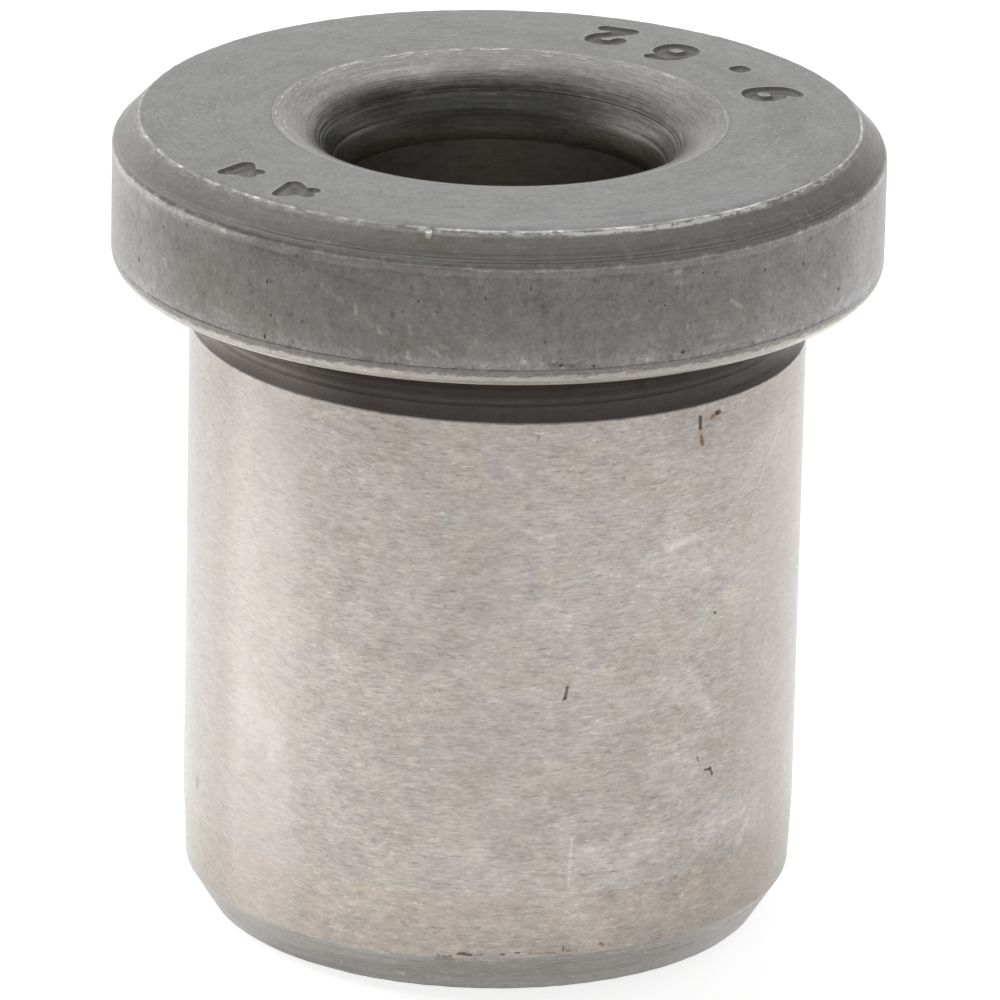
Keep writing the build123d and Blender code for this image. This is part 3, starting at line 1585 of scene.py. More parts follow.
FOOT_DASHES = (
    *marks(Tone.SOOT,
        (-4.4, 0.935, -2, 0.93, 0.03, 0.03, 0.85, 0.09), (-0.8, 0.93, 0.2, 0.94, 0.01, 0.02, 0.6, 0.06),
        (3.6, 0.945, 4.1, 0.95, 0.022, 0.02, 0.8, 0.06), (6.3, 0.97, 6.9, 0.98, 0.026, 0.02, 0.7, 0.06),
        (15.3, 1.06, 15.3, 0.97, 0.016, 0.02, 0.7, 0.05),
        (-8.2, 0.865, -5.8, 0.865, 0.012, 0.03, 0.6, 0.09)),
    *marks(Tone.BROWN,
        (8.8, 0.96, 13.5, 0.95, 0.004, 0.03, 0.6, 0.1), (16, 0.97, 18, 0.98, 0.008, 0.03, 0.6, 0.09),
        (22.5, 1.04, 23.1, 1.01, 0.03, 0.03, 0.8, 0.06)),
)
NICK_SHINE = Mark(Tone.BRIGHT, (-10.8, 15.955), (-10.5, 15.875), 0.085, 0.035, 0.8, 0.06)

# The tool's finest lines in the mouth, by their slope
MOUTH_LINES = tuple((slope, 0.2, 0.9, 96, 264, strength, 0.4, 0.5, 2.2, 16) for slope, strength in (
    (22, 0.22), (27.5, 0.28), (33, 0.34), (36.2, 0.38), (39, 0.42), (41.6, 0.48), (44, 0.6), (48.2, 0.62),
    (54, 0.4), (57.5, 0.3), (63, 0.34), (70.5, 0.24),
))

# Painted shade on the foot chamfer's left side and painted light on its right side (the wide 0.45 bands),
# and painted light fading in towards its foot (the Fade)
FOOT_CHAMFER_LAYERS = (
    *belts(Tone.SHADE,
        (0.66, 0.012, 0.03, -80, 80, 0.6, 0.46, 0.05, 1.3),
        (0.49, 0.016, 0.03, -20, 90, 0.7, 0.48, 0.05, 1.3),
        (0.36, 0.012, 0.03, -60, 60, 0.6, 0.5, 0.05, 1.3), (0.45, 0.6, 0.15, -72, -30, 0.55)),
    *belts(Tone.PALE,
        (0.61, 0.014, 0.03, -80, 90, 0.9, 0.46, 0.05, 1.3),
        (0.42, 0.012, 0.03, -60, 90, 0.8, 0.48, 0.05, 1.3), (0.45, 0.8, 0.1, 52, 90, 0.8)),
    Fade(Tone.PALE, 0.38, 0.22), Belt(Tone.LIGHT, 0.8, 0.03, 0.04, (-90, 90), 0.45, 0.46, 0.05, 2.2),
    *marks(Tone.LIGHT,
        (-16.9, 0.29, -15.6, 0.28, 0.02, 0.04, 0.7, 0.08), (-29, 0.33, -28.9, 0.3, 0.01, 0.04, 0.7, 0.04),
        (-9, 0.27, -6.5, 0.26, 0.02, 0.05, 0.3, 0.05)),
    *marks(Tone.BROWN,
        (-8.5, 0.8, -5.5, 0.8, 0.02, 0.05, 0.5, 0.1), (-41, 0.8, -33.5, 0.795, 0.01, 0.04, 0.5, 0.08)),
    Flecks(Tone.PALE, 5, 9, 0.6, 0.1, 0.8, 5),
)
HEAD_SIDE_LAYERS = (
    # Painted light and shade on the head's side: lighter bands towards both edges, at the upper right and
    # along its foot, and a darker band left of the front
    *belts(Tone.PALE,
        (15.15, 0.4, 0.15, 6, 54, 1), (15.15, 0.4, 0.15, -80, -50, 0.9), (13.46, 0.1, 0.12, -90, 90, 1),
        (14.4, 2.2, 0.3, 46, 66, 0.75), (13.75, 0.25, 0.2, 5, 62, 0.8)),
    *belts(Tone.CHALK_AND_PAINTED_LIGHT,
        (14.4, 2.2, 0.3, 69, 90, 0.8), (14.2, 2, 0.3, -90, -64, 0.6), (13.48, 0.1, 0.12, -10, 70, 0.35)),
    Belt(Tone.SHADE, 14.3, 0.5, 0.4, (-48, -8), 0.25),
    *belts(Tone.LIGHT,
        # The first row is a broad painted highlight under the corner at the left
        (15.37, 0.09, 0.06, -112, -46, 0.85, 0.26, 0.08),
        (15.385, 0.03, 0.06, -50, 8, 0.75, 0.45, 0.16, 3.2),
        (15.36, 0.012, 0.03, 4, 80, 0.8, 0.42, 0.06, 3.2),
        (15.43, 0.016, 0.03, -60, 80, 0.55, 0.48, 0.06, 3.2),
        (13.43, 0.014, 0.05, -75, 75, 0.35, 0.5, 0.06, 3.2),
        (13.5, 0.03, 0.06, -60, 30, 0.4, 0.54, 0.14, 3.2)),
    Belt(Tone.SHADE, 15.22, 0.016, 0.05, (-44, 70), 0.8, 0.44, 0.06, 1.3),
    Belt(Tone.DARK, 13.385, 0.008, 0.04, (-60, 60), 0.4, 0.5, 0.05, 3.2),
    Mark(Tone.SHADE, (-36, 15.2), (-10, 14.72), 0.01, 0.06, 0.45, 0.08, 6.5),
    *marks(Tone.LIGHT,
        (36.2, 14.4, 38.2, 14.22, 0.03, 0.045, 0.7, 0.12),
        (26.6, 15.12, 27.5, 15.19, 0.03, 0.06, 0.55, 0.14),
        (-26, 14.75, -25, 14.64, 0.02, 0.05, 0.5, 0.12),
        (-24.2, 14.61, -22.8, 14.52, 0.02, 0.05, 0.5, 0.12),
        (-20.6, 14.5, -20.5, 14.28, 0.014, 0.05, 0.55, 0.12),
        (-12.4, 14.16, -12.2, 14.03, 0.014, 0.05, 0.5, 0.12),
        (-57.4, 14.28, -57.2, 14.12, 0.03, 0.05, 0.4, 0.12),
        (-9.8, 13.8, -8, 13.62, 0.02, 0.05, 0.55, 0.12),
        (-7.9, 13.83, -6.6, 13.78, 0.02, 0.05, 0.55, 0.12),
        (-12.6, 13.63, -12.4, 13.54, 0.03, 0.05, 0.6, 0.12),
        (3.9, 13.66, 4.1, 13.55, 0.03, 0.05, 0.55, 0.12),
        (55.8, 14.31, 56.6, 14.28, 0.02, 0.05, 0.5, 0.12),
        (32.5, 13.73, 35, 13.74, 0.02, 0.05, 0.45, 0.12),
        (-17, 14.1, -16.8, 13.95, 0.02, 0.05, 0.45, 0.12),
        (-45, 13.72, -42, 13.7, 0.02, 0.08, 0.4, 0.16, 6.5),
        (20, 14.3, 21, 14.34, 0.02, 0.06, 0.4, 0.14)),
    *marks(Tone.PALE,
        (-25.2, 14.02, -24.8, 13.82, 0.05, 0.12, 1, 0.12),
        (46.5, 14.5, 47.5, 14.25, 0.03, 0.08, 1, 0.08)),
    Mark(Tone.OLIVE, (-14, 13.8), (-13, 13.66), 0.1, 0.12),
    *marks(Tone.DARK,
        (8, 13.48, 12.5, 13.47, 0.02, 0.12, 0.5, 0.25),
        (-12.5, 15.395, -4, 15.385, 0.02, 0.05, 0.7, 0.08)),
    Flecks(Tone.DARK, 6, 6, 0.62, 0.14, 0.45, 23), Flecks(Tone.LIGHT, 6.5, 5, 0.61, 0.14, 0.4, 37),
    Flecks(Tone.SOOT, 4.5, 4.5, 0.74, 0.08, 0.45, 29),
    Flecks(Tone.LIGHT, 6, 9, 0.56, 0.12, 0.45, 41, (13.85, 13.45)),
    Flecks(Tone.DARK, 6, 8, 0.57, 0.12, 0.45, 53, (13.8, 13.4)),
)
HEAD_CHAMFER_LAYERS = (
    *belts(Tone.DARK,
        (15.62, 0.006, 0.016, -8, 62, 0.5, 0.34, 0.04, 1.3),
        (15.585, 0.004, 0.016, -30, 62, 0.45, 0.38, 0.04, 1.3),
        (15.545, 0.01, 0.018, -34, 64, 0.6, 0.3, 0.04, 1.3),
        (15.49, 0.008, 0.018, -10, 66, 0.6, 0.32, 0.04, 1.3),
        (15.7, 0.004, 0.014, 10, 60, 0.35, 0.4, 0.04, 1.3),
        (15.655, 0.004, 0.014, 20, 66, 0.4, 0.38, 0.04, 1.3)),
    # Painted light on the chamfer's lower part, more at the left
    *belts(Tone.PALE, (15.49, 0.06, 0.04, -90, -10, 0.9), (15.5, 0.04, 0.04, -10, 40, 0.4)),
    # The light and bright lines at 15.9 and higher are the burr along the chamfer's top edge: worn bright
    # metal with painted highlights, strongest at the front right
    Belt(Tone.LIGHT, 15.905, 0.02, 0.035, (-20, 70), 0.62, 0.3, 0.04, 3.2),
    *belts(Tone.LIGHT,
        (15.565, 0.004, 0.014, -5, 60, 0.35, 0.46, 0.04, 1.3),
        (15.475, 0.016, 0.02, -60, 80, 0.55, 0.5, 0.04, 3.2),
        (15.915, 0.03, 0.05, -110, 66, 0.35, 0.44, 0.06, 3.2)),
    *belts(Tone.BRIGHT,
        (15.925, 0.016, 0.024, 13, 42, 0.95, 0.36, 0.08, 3.2, 6),
        (15.938, 0.012, 0.018, -6, 60, 0.75, 0.42, 0.05, 3.2),
        (15.945, 0.008, 0.016, -100, 68, 0.35, 0.44, 0.05, 3.2)),
    *marks(Tone.BRIGHT,
        (21, 15.925, 29, 15.895, 0.01, 0.03, 0.85, 0.06),
        (29, 15.895, 36, 15.92, 0.01, 0.03, 0.85, 0.06)),
    # A painted shadow under the burr
    Belt(Tone.SHADE, 15.86, 0.02, 0.04, (-60, 60), 0.4, 0.44, 0.05, 2.2),
    Mark(Tone.SOOT, (-13, 15.415), (-4.5, 15.405), 0.012, 0.03, 0.5, 0.08),
    *marks(Tone.RUST,
        (-67.5, 15.83, -65.5, 15.84, 0.03, 0.08, 0.4, 0.1),
        (-12, 15.8, -8, 15.72, 0.06, 0.2, 0.35, 0.3, 6.5)),
    *marks(Tone.LIGHT,
        (40.6, 15.78, 41.4, 15.72, 0.006, 0.03, 0.6, 0.04),
        (53, 15.66, 53.3, 15.52, 0.006, 0.03, 0.7, 0.04),
        (55.3, 15.62, 55.9, 15.58, 0.006, 0.03, 0.6, 0.04),
        (48.5, 15.75, 49.4, 15.7, 0.006, 0.03, 0.4, 0.04)),
    Mark(Tone.PALE, (1.5, 15.73), (4, 15.72), 0.02, 0.06, 1, 0.06), NICK_SHINE,
    Flecks(Tone.LIGHT, 7, 14, 0.64, 0.1, 0.4, 37), Flecks(Tone.DARK, 5, 20, 0.64, 0.1, 0.3, 43),
)
TOP_FACE_LAYERS = (
    *belts(Tone.LIGHT,
        (5.46, 0.01, 0.03, -145, -120, 0.6, 0.46, 0.05, 3.2),
        (5.49, 0.01, 0.03, -102, -60, 0.6, 0.5, 0.05, 3.2),
        (5.54, 0.012, 0.03, -22, 40, 0.6, 0.5, 0.05, 3.2),
        (5.47, 0.01, 0.03, 68, 98, 0.6, 0.46, 0.05, 3.2), (6.26, 0.01, 0.02, 8, 36, 0.5, 0.52, 0.05, 3.2),
        (6.06, 0.014, 0.03, 54, 66, 0.7, 0.46, 0.05, 3.2),
        (6.22, 0.014, 0.03, 54, 70, 0.6, 0.48, 0.05, 3.2), (6.46, 0.01, 0.02, 52, 80, 0.6, 0.5, 0.05, 3.2),
        (6.93, 0.014, 0.03, -60, 60, 0.35, 0.46, 0.06, 3.2)),
    # Painted light on the top face's outer part at the front right
    Belt(Tone.PALE, 6.6, 0.25, 0.15, (-12, 44), 1),
    # The last row is painted shade on the top face at the right
    *belts(Tone.SHADE,
        (5.53, 0.012, 0.03, -92, -20, 1, 0.46, 0.05, 3.2),
        (5.73, 0.014, 0.03, -22, 62, 0.9, 0.5, 0.05, 3.2), (6.62, 0.008, 0.02, -105, -60, 0.7, 0.46, 0.05),
        (6.35, 0.008, 0.02, -105, -72, 0.7, 0.46, 0.05), (5.9, 0.008, 0.02, 70, 105, 0.8, 0.46, 0.05),
        (6.12, 0.008, 0.02, 74, 108, 0.8, 0.48, 0.05), (5.5, 0.4, 0.3, 84, 120, 0.4)),
    Fade(Tone.SHADE, 4.5, 4.4), Flecks(Tone.DARK, 3.4, 3.4, 0.735, 0.05, 0.3, 23),
    Flecks(Tone.LIGHT, 2.5, 16, 0.64, 0.1, 0.3, 37),
)
MOUTH_LAYERS = (
    # Bright broken lines near the mouth's edge: worn metal with painted glints
    *belts(Tone.BRIGHT,
        (11.2, 0.6, 1.6, -180, -70, 0.5, 0.44, 3), (10.8, 0.8, 1.6, 128, 180, 0.5, 0.46, 3)),
    # Painted light deep in the mouth at both sides
    *bands(Tone.BRIGHT, (73, 6, 13, 86, 122, 0.8, 20), (76, 8, 8, -112, -86, 0.38, 16)),
    # Painted highlights on turned lines at slopes 55 and 66
    *belts(Tone.BRIGHT,
        (55, 0.4, 1, -180, -92, 0.35, 0.36, 0.8), (56, 0.4, 1, 110, 180, 0.35, 0.4, 0.8),
        (66, 0.4, 1, 104, 180, 0.3, 0.42, 0.8)),
    # The first and the last two rows are painted light on the mouth's walls
    *belts(Tone.LIGHT,
        (18, 14, 7, 125, 235, 0.28), (25, 0.8, 1.8, -168, -104, 0.65, 0.48, 3, 3.2),
        (30.5, 0.6, 1.6, -180, -118, 0.55, 0.52, 3, 3.2), (25, 0.8, 1.8, 124, 170, 0.65, 0.48, 3, 3.2),
        (29, 0.6, 1.6, 144, 172, 0.55, 0.52, 3, 3.2), (61, 0.3, 0.9, 95, 180, 0.3, 0.46, 0.8),
        (33, 7, 5, -152, -106, 0.85), (33, 7, 5, -180, -160, 0.3)),
    # Painted light low in the mouth at both sides and at the back
    *bands(Tone.LIGHT,
        (69, 22, 8, 86, 130, 0.78, 20), (77, 14, 8, -126, -86, 0.7, 16), (84, 6, 5, 120, 220, 0.34, 20)),
    Belt(Tone.RUST, 86, 8, 16, strength=0.5),
    # Painted shade deep in the mouth, most at the back
    *bands(Tone.DARK,
        (60, 19, 10, 162, 222, 0.8, 26), (66, 26, 10, -180, 180, 0.3, 12),
        (74, 8, 5, 168, 204, 0.75, 24)),
    # Painted shade on the mouth's sides
    *belts(Tone.SHADE,
        (53, 14, 6, -140, -60, 1), (30, 26, 6, 86, 102, 0.55), (39, 6, 4, 104, 160, 0.35),
        (31, 10, 5, -106, -86, 0.25)),
    *belts(Tone.DARK, *MOUTH_LINES),
    *belts(Tone.RUST, (46, 5, 6, -180, -92, 0.55, 0.4, 3), (42, 3, 5, 135, 172, 0.45, 0.44, 3)),
    *belts(Tone.DARK,
        (46.2, 0.4, 1, -180, -90, 0.45, 0.42, 0.8), (50.3, 0.6, 1, -180, -88, 0.85, 0.3, 0.5),
        (52.6, 0.3, 0.8, -180, -88, 0.6, 0.36, 0.5), (47, 0.4, 1, 95, 180, 0.6, 0.36, 0.8),
        (51.5, 0.6, 1, 92, 180, 0.8, 0.3, 0.5), (67.3, 0.4, 0.9, -180, -95, 0.7, 0.34, 0.5)),
    Flecks(Tone.LIGHT, 2.8, 0.55, 0.6, 0.14, 0.6, 19), Flecks(Tone.SHADE, 2.8, 0.55, 0.42, -0.14, 0.8, 19),
    Flecks(Tone.BRIGHT, 5, 0.9, 0.6, 0.1, 0.55, 43, (24, 15)),
)

FINISHES: dict[Zone, Finish] = {
    Zone.GROUND_BODY: Finish(
        "ground_body", (0.53, 0.49, 0.452), 0.25, Across.HEIGHT, GROUND_PATTERNS,
        (*GROUND_TINTS, *GROUND_PAINTED_LIGHT_AND_SHADE, LEAD_LINE, *BODY_MARKS), calm=GROUND_CALM),
    Zone.LEAD: Finish(
        "ground_lead", (0.532, 0.48, 0.43), 0.27, Across.HEIGHT, GROUND_PATTERNS,
        (
            *GROUND_TINTS, *GROUND_PAINTED_LIGHT_AND_SHADE, LEAD_LINE, *FOOT_DASHES,
            *marks(Tone.CHALK_AND_PAINTED_LIGHT,
                (18.5, 2.1, 21, 1.3, 0.2, 0.55, 0.4, 0.8, 6.5),
                (37.5, 1.5, 40, 1.75, 0.02, 0.07, 0.4, 0.1))),
        calm=GROUND_CALM),
    Zone.FOOT_CHAMFER: Finish(
        "turned_foot_chamfer", (0.508, 0.486, 0.458), 0.32, Across.HEIGHT,
        (
            Pattern(0.3, 0, 0.5, 9, 11), Pattern(0.4, 1, 0.9, 19, 3), Pattern(0.28, 0, 5, 26, 5),
            FINE_GRAIN, SOFT_GRAIN, CLOUDS),
        FOOT_CHAMFER_LAYERS),
    Zone.FOOT_FACE: Finish(
        "faced_foot", (0.46, 0.45, 0.43), 0.36, Across.RADIUS,
        (FINE_LINES, LONG_LINES, FINE_GRAIN, CLOUDS),
        (Flecks(Tone.BROWN, 3, 3, 0.7, 0.06, 0.4, 3), Flecks(Tone.LIGHT, 2, 14, 0.7, 0.06, 0.4, 9))),
    Zone.NECK: Finish(
        "dark_neck", (0.08, 0.072, 0.067), 0.36, Across.HEIGHT,
        (FINE_LINES, LONG_LINES, FINE_GRAIN, SOFT_GRAIN, CLOUDS),
        (
            # The two shade fades are painted shade, darkening the neck under the head
            Fade(Tone.SHADE, 12.15, 12.26), Fade(Tone.SHADE, 12.26, 12.48), Fade(Tone.RUST, 12.4, 12.6),
            Belt(Tone.LIGHT, 12.12, 0.01, 0.03, (48, 75), 0.3, 0.46, 0.04),
            # A painted highlight on the neck's left and painted shade on its right
            Belt(Tone.BRIGHT, 12.2, 1, 0.1, (-90, -48), 0.95, fade=22),
            Belt(Tone.SHADE, 12.2, 1, 0.1, (36, 66), 0.4), Flecks(Tone.LIGHT, 2, 18, 0.62, 0.12, 0.35, 3),
            Flecks(Tone.BROWN, 2, 3, 0.6, 0.12, 0.3, 8))),
    Zone.FLANK: Finish(
        # Painted light: the flank's colour is about twice the neck's, standing in for the light it catches
        "dark_flank", (0.15, 0.137, 0.129), 0.36, Across.HEIGHT,
        (FINE_LINES, LONG_LINES, FINE_GRAIN, SOFT_GRAIN, CLOUDS),
        (
            Belt(Tone.DARK, 11.87, 0.01, 0.02, (52, 72), 0.5, 0.4, 0.03),
            Belt(Tone.LIGHT, 11.95, 0.008, 0.015, (36, 75), 0.5, 0.42, 0.03),
            # A painted highlight on the flank's left
            Belt(Tone.BRIGHT, 12, 1, 0.1, (-90, -44), 0.85, fade=22),
            Flecks(Tone.LIGHT, 2, 18, 0.62, 0.12, 0.25, 3))),
    Zone.SEAT: Finish(
        "turned_seat", (0.2, 0.19, 0.18), 0.38, Across.RADIUS,
        (FINE_LINES, LONG_LINES, FINE_GRAIN, CLOUDS),
        (Flecks(Tone.LIGHT, 2, 14, 0.68, 0.06, 0.5, 9), Fade(Tone.SHADE, 6.5, 6.2))),
    Zone.LOWER_ROUND: Finish(
        "rubbed_round", (0.475, 0.452, 0.424), 0.3, Across.EDGE_SLOPE,
        (Pattern(0.5, 0.8, 3, 0.24), Pattern(0.55, 0.6, 9, 0.35, 4), Pattern(0.3, 0.2, 1.2, 0.05, 7)),
        (
            Belt(Tone.DARK, 0, 20, 12, (-180, 180), 0.86, -1, 34, 5),
            Belt(Tone.DARK, 6, 1, 3, (-75, 12), 0.4, 0.46, 5, 2.2),
            # Painted light and shade on the round: lighter and darker patches at set sides and slopes
            *belts(Tone.LIGHT,
                (61, 20, 8, -38, 20, 1), (36, 12, 8, 56, 80, 0.85), (8, 10, 8, 44, 76, 0.35),
                (2, 8, 6, -78, -38, 0.2)),
            *belts(Tone.SHADE,
                (58, 12, 8, 30, 46, 0.5), (38, 10, 8, -52, -30, 0.55), (14, 14, 8, -58, -34, 0.45),
                (50, 12, 8, -48, -28, 0.45)),
            Flecks(Tone.LIGHT, 7, 0.12, 0.6, 0.12, 0.5, 3),
            # The fade is painted shade on the round's underside
            Flecks(Tone.DARK, 6, 0.12, 0.62, 0.12, 0.5, 14), Fade(Tone.SHADE, 66, 88))),
    Zone.HEAD_SIDE: Finish(
        "dark_head_side", (0.222, 0.21, 0.198), 0.31, Across.HEIGHT,
        (
            Pattern(0.54, 0.9, 14, 14, 2), Pattern(0.52, 0.5, 5, 4.4, 7), Pattern(0.42, 0, 1.5, 1.3, 13),
            Pattern(0.22, 0, 0.5, 0.6, 27)),
        HEAD_SIDE_LAYERS, 7.5),
    Zone.HEAD_CHAMFER: Finish(
        "turned_chamfer", (0.383, 0.372, 0.356), 0.34, Across.HEIGHT,
        (Pattern(0.16, 0.4, 0.8, 26, 5), Pattern(0.26, 0, 3, 22, 8), FINE_GRAIN, SOFT_GRAIN, CLOUDS),
        HEAD_CHAMFER_LAYERS, 7.2),
    Zone.TOP_FACE: Finish(
        "satin_top_face", (0.304, 0.302, 0.298), 0.36, Across.RADIUS,
        (
            Pattern(0.4, 0.5, 12, 12, 2), Pattern(0.34, 0, 5, 5, 7), Pattern(0.2, 0.3, 0.8, 14, 11),
            Pattern(0.32, 0, 0.9, 0.9, 13), Pattern(0.28, 0, 2, 2.6, 17)),
        TOP_FACE_LAYERS, 5.7),
    Zone.MOUTH: Finish(
        "turned_mouth", (0.305, 0.3, 0.29), 0.3, Across.MOUTH_SLOPE,
        (Pattern(0.62, 1.1, 1, 0.6), Pattern(0.3, 0, 0.5, 0.22, 11), Pattern(0.54, 0, 8, 0.5, 2), CLOUDS),
        MOUTH_LAYERS, 4),
    Zone.BORE: Finish(
        "honed_bore", (0.62, 0.595, 0.565), 0.32, Across.HEIGHT,
        (FINE_LINES, LONG_LINES, FINE_GRAIN, CLOUDS),
        (
            Mark(Tone.RUST, (-178, 13.4), (170, 12.2), 0.8, 0.8, 0.4, 0.5, 3.5),
            Flecks(Tone.SHADE, 2, 9, 0.56, 0.16, 0.7, 9)),
        3.1),
    Zone.TOP_LIP: Finish(
        "bright_top_lip", (0.46, 0.455, 0.44), 0.3, Across.HEIGHT,
        (Pattern(0.9, 0.5, 6, 6), Pattern(0.7, 0.3, 1.4, 1.4, 4)),
        (
            Flecks(Tone.LIGHT, 2.4, 2.4, 0.48, 0.2, 0.7, 3), Flecks(Tone.BRIGHT, 5, 5, 0.54, 0.2, 0.45, 5),
            # The lip lighter at the front right: the burr's bright metal with a painted highlight
            Belt(Tone.LIGHT, 16, 0.2, 0.1, (-6, 60), 0.8, 0.36, 0.05, 3.2),
            Flecks(Tone.SHADE, 2, 2, 0.5, 0.16, 1, 8), NICK_SHINE),
        7),
    Zone.HEAD_CORNER: Finish(
        "rubbed_corner", (0.345, 0.333, 0.32), 0.32, Across.HEIGHT,
        (Pattern(0.7, 0.5, 7, 7), Pattern(0.5, 0.3, 1.4, 1.4, 4)),
        (
            Flecks(Tone.LIGHT, 5, 5, 0.5, 0.2, 0.7, 3), Flecks(Tone.SHADE, 3, 3, 0.54, 0.16, 0.4, 8),
            # A painted highlight along the corner at the left
            Belt(Tone.LIGHT, 15.45, 0.1, 0.1, (-112, -50), 0.6, 0.36, 0.05, 2.2))),
    Zone.BODY_RIM: Finish(
        "bright_body_rim", (0.55, 0.52, 0.485), 0.28, Across.HEIGHT, (Pattern(0.5, 0.3, 5, 5), CLOUDS),
        (Flecks(Tone.SHADE, 3, 3, 0.55, 0.08, 0.9, 3),)),
    Zone.FOOT_RIM: Finish(
        "broken_foot_rim", (0.52, 0.495, 0.465), 0.3, Across.HEIGHT, (Pattern(0.7, 0.5, 6, 6), CLOUDS),
        (*FOOT_DASHES, Flecks(Tone.BROWN, 2, 2, 0.6, 0.06, 0.4, 8))),
    Zone.WORN_EDGE: Finish(
        "worn_edge", (0.36, 0.35, 0.335), 0.3, Across.HEIGHT, (Pattern(0.7, 0.5, 5, 5), CLOUDS),
        (Flecks(Tone.LIGHT, 3, 3, 0.6, 0.1, 0.6, 3),)),
    Zone.STAMP: Finish(
        "stamped_figure", (0.21, 0.205, 0.198), 0.42, Across.RADIUS,
        (FINE_GRAIN, Pattern(0.5, 0.4, 7, 7, 7), CLOUDS),
        (Flecks(Tone.LIGHT, 5, 5, 0.6, 0.12, 0.5, 3),)),
    Zone.STAMP_RIM: Finish(
        "raised_stamp_rim", (0.325, 0.322, 0.316), 0.34, Across.RADIUS,
        (Pattern(0.4, 0.5, 10, 10, 2), SOFT_GRAIN, CLOUDS),
        (Flecks(Tone.PALE, 5, 5, 0.55, 0.12, 1, 3),)),
    Zone.PIT: Finish("dark_pit", (0.135, 0.125, 0.117), 0.5, Across.HEIGHT, (FINE_GRAIN, SOFT_GRAIN)),
}


@dataclass
class Bushing:
    """The dressed bushing: its shape, its stamped figures and its finishes."""

    sizes: Sizes
    name: str = "steel_bushing"
    sharp_degrees: float = 32.0

    def build(self) -> Object:
        """Returns:
            The piece's object.
        """
        data = filled(bpy.data.meshes.new(self.name), BushingShape(self.sizes).mesh())
        for zone in Zone:
            data.materials.append(FINISHES[zone].material(self.sizes))
        piece = linked(self.name, data)
        self._strike(piece)
        mesh = piece.data
        mesh.transform(Matrix.Scale(METRES, 4))
        mesh.set_sharp_from_angle(angle=math.radians(self.sharp_degrees))
        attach(piece, BODY)
        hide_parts(NODE)
        triangles = sum(len(polygon.vertices) - 2 for polygon in mesh.polygons)
        LOG.info("%s: %d triangles", piece.name, triangles)
        return piece

    def _strike(self, piece: Object) -> None:
        """Stamps the figures into the piece and cuts its pits.

        Args:
            piece: the bushing, in millimetres.
        """
        stamp = StampedFigures(self.sizes.length)
        wear = Wear(self.sizes)
        rims = stamp.rims()
        tools = (rims, stamp.grooves(), wear.pits(), wear.nick())
        for tool in tools:
            cut = piece.modifiers.new(tool.name, "BOOLEAN")
            cut.operation = "UNION" if tool is rims else "DIFFERENCE"
            cut.object = tool
            cut.solver = "EXACT"
            cut.material_mode = "INDEX"
        replaced(piece, applied(piece))
        for tool in tools:
            bpy.data.objects.remove(tool)


@dataclass(frozen=True)
class SoftBox:
    """A soft lamp, placed by its bearing from the front and its elevation.

    It faces the bushing, or the floor at a reach from the bushing's axis. A spread under 180
    degrees is a grid on the lamp, which keeps its light in a pool.
    """

    name: str
    bearing: float
    elevation: float
    distance: float
    size: tuple[float, float]
    level: float
    reach: float = 0.0
    spread: float = 180.0

    def light(self, aim: Vector) -> Object:
        """Hangs the lamp.

        Args:
            aim: the point that it faces.

        Returns:
            The lamp's object.
        """
        lamp = bpy.data.lights.new(self.name, "AREA")
        lamp.shape = "RECTANGLE"
        lamp.size, lamp.size_y = self.size
        half = math.radians(self.spread / 2)
        grid = (math.tan(half) - half) / math.tan(half)
        lamp.spread = math.radians(self.spread)
        lamp.energy = self.level * math.pi * self.size[0] * self.size[1] * grid
        bearing, elevation = math.radians(self.bearing), math.radians(self.elevation)
        way = Vector((math.sin(bearing) * math.cos(elevation), -math.cos(bearing) * math.cos(elevation),
                      math.sin(elevation)))
        if self.reach:
            aim = Vector((way.x, way.y, 0.0)).normalized() * self.reach * METRES
        holder = linked(self.name, lamp)
        facing = way.to_track_quat("Z", "Y").to_matrix().to_4x4()
        holder.matrix_world = Matrix.Translation(aim + way * self.distance) @ facing
        holder.visible_camera = False
        holder.visible_glossy = False
        return holder


